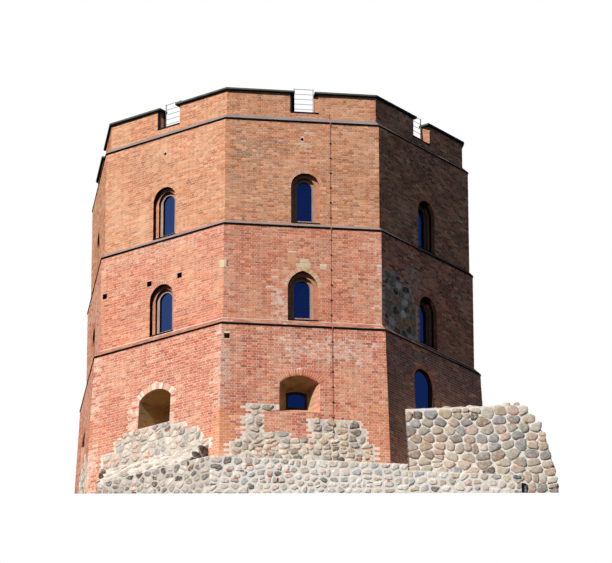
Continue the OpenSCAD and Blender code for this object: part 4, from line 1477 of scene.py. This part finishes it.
# %% [markdown]
# ## Stones on the plinth, the low wall and the wall stub
# Every side of the rubble is a flat panel with its own origin and directions. The stones are made on the
# panel and then carried to it. Chips of brick are wedged into the joints between some of them.

# %% Panels of rubble
STONE_COLOURS = [
    ((202, 187, 168), 4), ((182, 173, 159), 3), ((203, 181, 164), 3), ((213, 202, 187), 3),
    ((172, 170, 167), 2), ((156, 149, 140), 2), ((196, 175, 146), 2), ((178, 157, 140), 1.5),
    ((114, 106, 98), 1), ((194, 160, 145), 1)]
PALE_STONES = [
    ((230, 218, 201), 4), ((214, 205, 192), 3), ((230, 210, 195), 3), ((240, 231, 218), 3),
    ((196, 195, 192), 2), ((186, 180, 170), 1.5), ((222, 204, 176), 1.5), ((208, 190, 173), 1.5),
    ((140, 133, 125), 0.7)]
CAPPING_STONES = [
    ((204, 193, 179), 3), ((184, 175, 163), 3), ((160, 153, 143), 1.5), ((222, 211, 197), 3),
    ((116, 110, 102), 1)]
GREY_STONES = [
    ((186, 177, 165), 3), ((166, 159, 149), 3), ((136, 130, 122), 2), ((212, 202, 189), 3),
    ((92, 87, 81), 1.2)]
DARK_STONES = [((104, 100, 96), 1), ((128, 122, 114), 1), ((84, 80, 78), 1)]
SHADY_STONES = [
    ((148, 140, 130), 3), ((214, 206, 194), 2.5), ((92, 84, 76), 3), ((178, 134, 88), 2.5),
    ((238, 230, 218), 1.2)]
SCAR_STONES = [
    ((206, 192, 173), 4), ((182, 174, 163), 3), ((204, 184, 167), 3), ((220, 208, 192), 3),
    ((156, 150, 141), 2), ((124, 116, 107), 1.5), ((196, 174, 146), 2), ((88, 82, 78), 0.8)]
BLUE_STONE = [((118, 128, 138), 1)]
CHIP_COLOURS = [(214, 140, 110), (222, 156, 124), (204, 124, 96)]
CHIP_LONG, CHIP_THIN = (0.05, 0.1), (0.018, 0.034)
CHIP_STAND, CHIP_SUNK, CHIP_LOWEST = 0.022, 0.03, 0.14
CHIP_JITTER = 0.008
CHIP_VARIATION = 0.1
STONE_VARIATION = 0.08
BULGE_RANGE = (0.6, 1.4)
UP = (0, 0, 1)
UNIT_SQUARE = rectangle(-1, 1, -1, 1)
rubble = {"stones": [], "tones": [], "chips": [], "chip_tones": []}


def carried(panel, points):
    """Points of a panel, as along, up and out, in the tower's frame."""
    origin, along, up = (np.array(v, float) for v in panel)
    out = np.cross(along, up)
    return origin + points[..., :1] * along + points[..., 1:2] * up + points[..., 2:] * out


def stone_tone(colours):
    shares = np.array([share for _, share in colours], float)
    colour = colours[rng.choice(len(colours), p=shares / shares.sum())][0]
    return pigment(*colour) * rng.normal(1, STONE_VARIATION)


def block_on(panel, square, front, back):
    """Eight points of a block on a panel, from the four corners of its front."""
    rings = [np.column_stack([square, np.full(4, height)]) for height in (front, back)]
    return carried(panel, np.concatenate(rings))


def add_chip(panel, spot, step):
    """A piece of brick wedged into the joint between two stones, lying or standing."""
    half = np.array([rng.uniform(*CHIP_LONG), rng.uniform(*CHIP_THIN)])
    if abs(step[0]) > abs(step[1]):
        half = half[::-1]
    spot = np.maximum(spot, (-math.inf, CHIP_LOWEST))
    square = spot + UNIT_SQUARE * half + rng.normal(0, CHIP_JITTER, (4, 2))
    rubble["chips"].append(block_on(panel, square, CHIP_STAND, -CHIP_SUNK))
    rubble["chip_tones"].append(pigment(*CHIP_COLOURS[rng.integers(3)]) * rng.normal(1, CHIP_VARIATION))


def add_stones(panel, places, joint, bulge, chips=0.0, colours=STONE_COLOURS, loose=0.12, held=True):
    """Stones in their places on a panel, with a share of chips beside them."""
    held = np.broadcast_to(held, len(places))
    outlines, joints = stone_outlines(places, joint, loose)
    for outline, (spot, step) in zip(outlines[held], joints[held]):
        points = carried(panel, stone_points(outline, bulge * rng.uniform(*BULGE_RANGE)))
        rubble["stones"].append(np.maximum(points, (-math.inf, -math.inf, 0)))
        rubble["tones"].append(stone_tone(colours))
        if rng.random() < chips:
            add_chip(panel, spot, step)


def one_place(left, right, bottom, top):
    """A single stone that fills a box."""
    return np.array([[left, right, bottom, top] * 2])


def outward_of(face):
    return np.array([math.sin(face * TURN), -math.cos(face * TURN), 0])


def along_of(face):
    return np.array([math.cos(face * TURN), math.sin(face * TURN), 0])


def upright_panel(face, distance):
    return outward_of(face) * distance, along_of(face), UP


def height_between(x0, z0, x1, z1):
    """A sloping top, as the height over each place between two points."""
    return lambda x: z0 + (z1 - z0) * (x - x0) / (x1 - x0)


print("stone colours:", len(STONE_COLOURS))

# %% [markdown]
# ## The plinth
# The plinth wraps the front and most of the front left face. On the front a shelf of large stones lies
# behind its edge. On the front left the shelf is heaped up to a sloping cap of thin slabs, which ends in a
# dark gable on its right, and the plinth itself is broken off on its left. Each of these sides is a panel of
# its own.

# %% Sides and shelf of the plinth
GROUND = 0.03
PLINTH_ROW, PLINTH_STONE, PLINTH_MORTAR, PLINTH_BULGE = 0.25, 0.34, 0.058, 0.013
SHELF = {"joint": 0.1, "bulge": 0.03}
half_plinth = PLINTH * HALF_TAN
broken_left = PLINTH_BREAK - PLINTH_REACH


def level_top(height):
    return lambda x: height


def plinth_places(left, right, top_at):
    return rubble_places(left, right, GROUND, top_at, PLINTH_ROW, PLINTH_STONE)


def plinth_edge(face):
    """The middle of the plinth's upper edge on a face."""
    return outward_of(face) * PLINTH + np.array([0, 0, PLINTH_HEIGHT])


def plinth_side(face, left, shelf_left, colours):
    """Stones on one side of the plinth, and on the shelf behind its edge."""
    places = plinth_places(left, half_plinth, level_top(PLINTH_HEIGHT))
    add_stones(upright_panel(face, PLINTH), places, PLINTH_MORTAR, PLINTH_BULGE, chips=0.05, colours=colours)
    shelf = level_top(PLINTH - lower_face(PLINTH_HEIGHT))
    places = rubble_places(shelf_left + 0.1, half_plinth - 0.15, GROUND, shelf, row=0.3, wide=0.5)
    add_stones((plinth_edge(face), along_of(face), -outward_of(face)), places, **SHELF)


plinth_side(FRONT, -half_plinth, -half_plinth, PALE_STONES)
plinth_side(FRONT_LEFT, broken_left, CAPPING_REACH, GREY_STONES)
print("stones so far:", len(rubble["stones"]))

# %% Cap, broken end and gable on the left
outward, level, edge = outward_of(FRONT_LEFT), along_of(FRONT_LEFT), plinth_edge(FRONT_LEFT)
climb = PLINTH_CAP - PLINTH_HEIGHT
run = PLINTH - lower_face(PLINTH_CAP)
slope = math.hypot(climb, run)
up_slope = (np.array([0, 0, climb]) - outward * run) / slope
places = rubble_places(broken_left, CAPPING_REACH, 0.02, level_top(slope - 0.03), row=0.17, wide=0.5)
add_stones((edge, level, up_slope), places, joint=0.06, bulge=0.02, chips=0.02, colours=CAPPING_STONES)

foot = outward * LOWER_FOOT - level * PLINTH_REACH
end_way = outward * PLINTH + level * broken_left - foot
end_length = math.hypot(*end_way[:2])
places = plinth_places(0, end_length, height_between(0, PLINTH_CAP, end_length, PLINTH_HEIGHT))
add_stones((foot, end_way / end_length, UP), places, joint=0.05, bulge=0.05, colours=GREY_STONES)

gable = edge + level * CAPPING_REACH
places = rubble_places(0.1, run, 0, height_between(0, 0.02, run, climb), row=0.3, wide=0.36)
add_stones((gable, -outward, UP), places, joint=0.04, bulge=0.05, colours=DARK_STONES)
print("stones so far:", len(rubble["stones"]))

# %% [markdown]
# ## The low wall
# In front of the stub the plinth goes on as a low wall. At its end lie one bluish slab and one dark
# boulder, so these two have places of their own.

# %% Low wall
LAST_SLAB = one_place(LOW_WALL_END - 0.36, LOW_WALL_END + 0.02, LOW_WALL_HEIGHT - 0.17, LOW_WALL_HEIGHT)
END_BOULDER = one_place(0.08, 0.75, 0.05, LOW_WALL_HEIGHT - 0.2)
low_depth = PLINTH - STUB_FRONT
low_inner = lower_face(LOW_WALL_HEIGHT) * math.sqrt(2) - STUB_FRONT
low_front = ((0, -PLINTH, 0), (1, 0, 0), UP)
low_end = ((LOW_WALL_END, -PLINTH, 0), (0, 1, 0), UP)
low_top = ((0, -PLINTH, LOW_WALL_HEIGHT), (1, 0, 0), (0, 1, 0))

places = plinth_places(half_plinth, LOW_WALL_END, level_top(LOW_WALL_HEIGHT))
add_stones(low_front, places, PLINTH_MORTAR, PLINTH_BULGE, chips=0.06, colours=PALE_STONES)
add_stones(low_front, LAST_SLAB, joint=0.02, bulge=0.05, colours=BLUE_STONE)
places = plinth_places(0, low_depth, level_top(LOW_WALL_HEIGHT))
add_stones(low_end, places, PLINTH_MORTAR, PLINTH_BULGE, colours=PALE_STONES)
add_stones(low_end, END_BOULDER, joint=0.02, bulge=0.2, colours=DARK_STONES)
places = rubble_places(low_inner, LOW_WALL_END, GROUND, level_top(low_depth), row=0.34, wide=0.5)
add_stones(low_top, places, **SHELF)
print("stones so far:", len(rubble["stones"]))

# %% [markdown]
# ## The wall stub
# The stub is what is left of a curtain wall. Its front is coursed more carefully than the plinth, and its
# end steps back as it rises, so every step and the rising top are panels too. The stones on top stand out.

# %% Wall stub
STUB_BREAK = 1.35
STUB_RISE = 0.46
STUB_SHARES = [(0, 0), (0, 0.36), (0.35, 0.75), (0.75, 0.93), (1, 1)]
STUB_ROW, STUB_STONE, STUB_MORTAR, STUB_BULGE = 0.37, 0.47, 0.024, 0.028
STUB_CHIPS = 0.5
STUB_RAGGED = 0.1
COURSED = 0.2
BROKEN_BULGE = 0.07
TOP_BULGE = 0.11
top_bed = STUB_TOP - STUB_RISE
broken = [(STUB_END - a * STUB_BREAK, b * STUB_TOP) for a, b in STUB_SHARES]
thickness = STUB_FRONT - STUB_BACK


def stub_start(distance, z):
    """Where the stub meets the tower's face, for its front or its back."""
    return lower_face(z) * math.sqrt(2) - distance


def stub_end(z):
    """Where the stub is broken off, at a height."""
    return np.interp(z, [b for _, b in broken], [a for a, _ in broken])


def stub_side(distance, panel, mirror):
    """Stones on the stub's front or back."""
    first = stub_start(distance, top_bed)
    top_at = height_between(first, top_bed, broken[-1][0], STUB_TOP)
    places = rubble_places(first, STUB_END, GROUND, lambda x: min(top_at(x), STUB_TOP), STUB_ROW, STUB_STONE,
                           lambda z: stub_end(z) + rng.uniform(0, STUB_RAGGED), COURSED)
    if mirror:
        places = places[:, [1, 0, 2, 3, 5, 4, 6, 7]] * np.array([-1, -1, 1, 1] * 2)
    add_stones(panel, places, STUB_MORTAR, STUB_BULGE, chips=STUB_CHIPS, loose=0.0)


stub_side(STUB_FRONT, ((0, -STUB_FRONT, 0), (1, 0, 0), UP), False)
stub_side(STUB_BACK, ((0, -STUB_BACK, 0), (-1, 0, 0), UP), True)
for (x0, z0), (x1, z1) in zip(broken, broken[1:]):
    length = math.hypot(x1 - x0, z1 - z0)
    up = ((x1 - x0) / length, 0, (z1 - z0) / length)
    places = rubble_places(0, thickness, GROUND, level_top(length), STUB_ROW, STUB_STONE)
    add_stones(((x0, -STUB_FRONT, z0), (0, 1, 0), up), places, STUB_MORTAR, BROKEN_BULGE)
print("stones so far:", len(rubble["stones"]))

# %% Top of the stub
top_start = stub_start(STUB_FRONT, top_bed)
rise = STUB_RISE / (broken[-1][0] - top_start)
length = math.hypot(1, rise)
reach = (broken[-1][0] - top_start) * length
places = rubble_places(0, reach, 0.02, level_top(thickness), row=0.36, wide=0.45)
middle_depths = STUB_FRONT - places[:, 2:4].mean(axis=1)
from_tower = top_start + places[:, :2].mean(axis=1) / length - stub_start(middle_depths, top_bed)
panel = ((top_start, -STUB_FRONT, top_bed), (1 / length, 0, rise / length), (0, 1, 0))
add_stones(panel, places, joint=0.05, bulge=TOP_BULGE, held=from_tower > 0.1)
print("stones so far:", len(rubble["stones"]))

# %% [markdown]
# ## Stones in the scars
# The places in the scars were found before the bricks were laid. Each gets its stone, and behind the stones
# a pad of mortar fills what the brick skin left. The pads of the sunlit left are fresh lime. The others are
# old and dark.

# %% Scars
SCAR_JOINT = 0.04
SCAR_BULGE = {FRONT: 0.03, FRONT_LEFT: 0.025, LEFT: 0.01, FRONT_RIGHT: 0.012}
SCAR_COLOURS = {FRONT: SCAR_STONES, FRONT_LEFT: STONE_COLOURS, LEFT: PALE_STONES, FRONT_RIGHT: SHADY_STONES}
SCAR_CHIPS = {FRONT: 0.35, FRONT_LEFT: 0.3, LEFT: 0.3, FRONT_RIGHT: 0.0}
STOREY_FACE = {"lower": lower_face, "middle": middle_face}
PAD_JITTER = 0.012
PAD_STAND = 0.2
PAD_SUNK = 0.03
pads = {face: [] for face in SCAR_BULGE}
for (storey, face), places in scar_places.items():
    held = in_scar[storey, face]
    bulge = SCAR_BULGE[face]
    up = np.array(UP) - outward_of(face) * (BATTER if storey == "lower" else 0)
    panel = (outward_of(face) * STOREY_FACE[storey](0), along_of(face), up)
    add_stones(panel, places, SCAR_JOINT, bulge, SCAR_CHIPS[face], SCAR_COLOURS[face], held=held)
    for limits in places[held, :4]:
        square = rectangle(*limits) + rng.normal(0, PAD_JITTER, (4, 2))
        pads[face].append(block_on(panel, square, bulge * PAD_STAND, -PAD_SUNK))

old_lime = stone_finish()
old_lime.name = "old_lime_finish"
SCAR_MORTAR = [
    ("front_scar_mortar", (FRONT,), (0.66, 0.57, 0.48), old_lime),
    ("left_scar_mortar", (FRONT_LEFT, LEFT), (1, 1, 1), lime),
    ("shady_scar_mortar", (FRONT_RIGHT,), (0.48, 0.37, 0.26), old_lime),
]
for name, faces, shade, material in SCAR_MORTAR:
    blocks = np.array(sum((pads[face] for face in faces), []))
    joined(name, blocks, BRICK_FACES, np.tile(shade, (len(blocks), 1)), material)
rubble = {name: np.array(found) for name, found in rubble.items()}
joined("field_stones", rubble["stones"], STONE_FACES, rubble["tones"], stone, smooth=True)
joined("brick_chips", rubble["chips"], BRICK_FACES, rubble["chip_tones"], brick)

# %% [markdown]
# ## Pale blocks
# Some holes and gaps round the front window are closed with pale dressed stones, and one narrow slit beside
# them is filled with a black block, which is painted shadow. Each block starts as a box. Its arrises are
# bevelled, and a rough subdivision keeps its face from being quite flat.

# %% Pale stone blocks
BLOCK_STAND = 0.008
BLOCK_SUNK = 0.06
BLOCK_BEVEL = 0.008
BLOCK_ROUGH = 0.12


def block_finish(name, clean, worn):
    material, tree, shader = new_finish(name + "_block_finish", 0.9)
    wear = spread(tree, noise(tree, place(tree), 9, 6, 0.7), 0.3, 0.72)
    tree.links.new(mixed(tree, wear, clean, worn), shader.inputs["Base Color"])
    bumped(tree, shader, noise(tree, place(tree), 40, 5), 0.5, 0.006)
    return material


def new_box(name, size):
    """A box at the origin, selected alone."""
    bpy.ops.object.select_all(action="DESELECT")
    bpy.ops.mesh.primitive_cube_add(size=1)
    box = bpy.context.object
    box.name = name
    box.scale = size
    bpy.ops.object.transform_apply(location=False, rotation=False, scale=True)
    return box


def seat(box, face, along, height, distance):
    """Carry a shaped box to its place on a face and keep that place in its mesh."""
    box.location = on_face(face, np.float64(along), height, np.float64(distance))
    box.rotation_euler = (0, 0, face * TURN)
    bpy.ops.object.transform_apply(location=True, rotation=True, scale=True)


def pale_block(name, face, along, height, width, tall, depth, material):
    """A dressed block that fills a hole in the brick skin."""
    block = new_box(name, (width - JOINT, BLOCK_STAND + BLOCK_SUNK, tall - JOINT))
    bpy.ops.object.mode_set(mode="EDIT")
    bpy.ops.mesh.select_all(action="SELECT")
    bpy.ops.mesh.bevel(offset=BLOCK_BEVEL, segments=2, affect="EDGES")
    bpy.ops.mesh.select_all(action="SELECT")
    bpy.ops.mesh.subdivide(number_cuts=1, fractal=BLOCK_ROUGH, seed=int(abs(along) * 100))
    bpy.ops.object.mode_set(mode="OBJECT")
    seat(block, face, along, height, depth(height) + (BLOCK_STAND - BLOCK_SUNK) / 2)
    block.data.materials.append(material)
    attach(block, "root")


block_finishes = {
    "yellow": block_finish("yellow", linear(224, 208, 172), linear(204, 180, 142)),
    "pink": block_finish("pink", linear(222, 184, 168), linear(204, 160, 142)),
    "tan": block_finish("tan", linear(222, 166, 130), linear(208, 146, 112)),
    # The black block finish is painted shadow
    "black": block_finish("black", linear(44, 38, 34), linear(60, 50, 44)),
}
for k, (storey, *measures, kind) in enumerate(PALE_BLOCKS):
    pale_block(f"pale_block_{k + 1}", *measures, STOREY_FACE[storey], block_finishes[kind])
print("pale blocks:", len(PALE_BLOCKS))

# %% [markdown]
# ## Sheets in the gaps
# The sills of the parapet's gaps are capped with folded dark sheet. A sheet starts as a box, its inner end
# is drawn in to the splay of the gap, and its edges are rounded.

# %% Gap sheets
SHEET = 0.04
SHEET_NOSE = 0.03
SHEET_BEVEL = 0.005
OUTER_SHEET = GAP["width"] - 0.01
INNER_SHEET = GAP["inner"] - 0.02


def gap_sheet(face):
    """A folded sheet with the plan of a splayed gap, with a nose over each side of the wall."""
    deep = PARAPET - PARAPET_INNER + 2 * SHEET_NOSE
    sheet = new_box("gap_sheet_" + FACES[face], (OUTER_SHEET, deep, SHEET))
    bpy.ops.object.mode_set(mode="EDIT")
    bpy.ops.mesh.select_all(action="DESELECT")
    bpy.ops.object.mode_set(mode="OBJECT")
    for vertex in sheet.data.vertices:
        vertex.select = vertex.co.y > 0
    bpy.ops.object.mode_set(mode="EDIT")
    bpy.ops.transform.resize(value=(INNER_SHEET / OUTER_SHEET, 1, 1))
    bpy.ops.mesh.select_all(action="SELECT")
    bpy.ops.mesh.bevel(offset=SHEET_BEVEL, segments=2, affect="EDGES")
    bpy.ops.object.mode_set(mode="OBJECT")
    seat(sheet, face, shift_of(face), SILL_BED + SHEET / 2, (PARAPET + PARAPET_INNER) / 2)
    sheet.data.materials.append(coping)
    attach(sheet, "root")


for face in ALL_FACES:
    gap_sheet(face)
print("gap sheets:", len(FACES))

# %% [markdown]
# ## Uprights in the gaps and clips on the conductor
# Two dark iron uprights stand along the left jamb of each gap, one near either side of the wall; they stand
# on the left jamb only and are partly painted shadow, darkening that jamb as its shade does. A clip holds the
# lightning conductor to the front at every arm's length. All are plain blocks, so they are joined like
# bricks.

# %% Uprights in the gaps
JAMB_SLACK = 0.002
# Each upright: width, depth, distance of its front from the axis
# The uprights darken the left jamb: partly real iron, partly painted shadow
UPRIGHTS_AND_SHADOW = [(0.05, 0.045, PARAPET - 0.005), (0.085, 0.06, PARAPET_INNER + 0.10)]
UPRIGHT_AND_SHADOW_TONE, CLIP_TONE = 0.03, 0.05


def slab_on(face, square, front, back):
    """Eight points of a block on a face, from the corners of its front and two distances from the axis."""
    along, height = square.T
    return np.concatenate([on_face(face, along, height, distance + 0 * along) for distance in (front, back)])


uprights_and_shadow = []
for face in ALL_FACES:
    for wide, deep, front in UPRIGHTS_AND_SHADOW:
        share = (PARAPET - front) / (PARAPET - PARAPET_INNER)
        opening = GAP["width"] + (GAP["inner"] - GAP["width"]) * share
        jamb = shift_of(face) - opening / 2 + JAMB_SLACK
        square = rectangle(jamb, jamb + wide, SILL_BED, COPING_BED)
        uprights_and_shadow.append(slab_on(face, square, front, front - deep))
tones = np.full((len(uprights_and_shadow), 3), UPRIGHT_AND_SHADOW_TONE)
joined("gap_uprights_and_shadow", np.array(uprights_and_shadow), BRICK_FACES, tones, iron)

# %% Conductor clips
CLIP_PITCH = 0.62
CLIP_HALF = (0.036, 0.016)
CLIP_STAND = 0.03
FIRST_CLIP, LAST_CLIP = 0.3, 0.25
STRAP_RUNS = [
    (PLINTH_HEIGHT, low("lower_ledge").z, lower_face),
    (high("lower_ledge").z, low("middle_ledge").z, middle_face),
    (high("middle_ledge").z, low("upper_ledge").z, upper_face),
]
strap_low, strap_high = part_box("lightning_conductor")
strap = (strap_low.x + strap_high.x) / 2
clips = []
for bottom, top, depth in STRAP_RUNS:
    for z in np.arange(bottom + FIRST_CLIP, top - LAST_CLIP, CLIP_PITCH):
        square = UNIT_SQUARE * CLIP_HALF + np.array([strap, z])
        wall = depth(square[:, 1])
        clips.append(slab_on(FRONT, square, wall + CLIP_STAND, wall - SUNK))
tones = np.full((len(clips), 3), CLIP_TONE)
joined("conductor_clips", np.array(clips), BRICK_FACES, tones, iron)
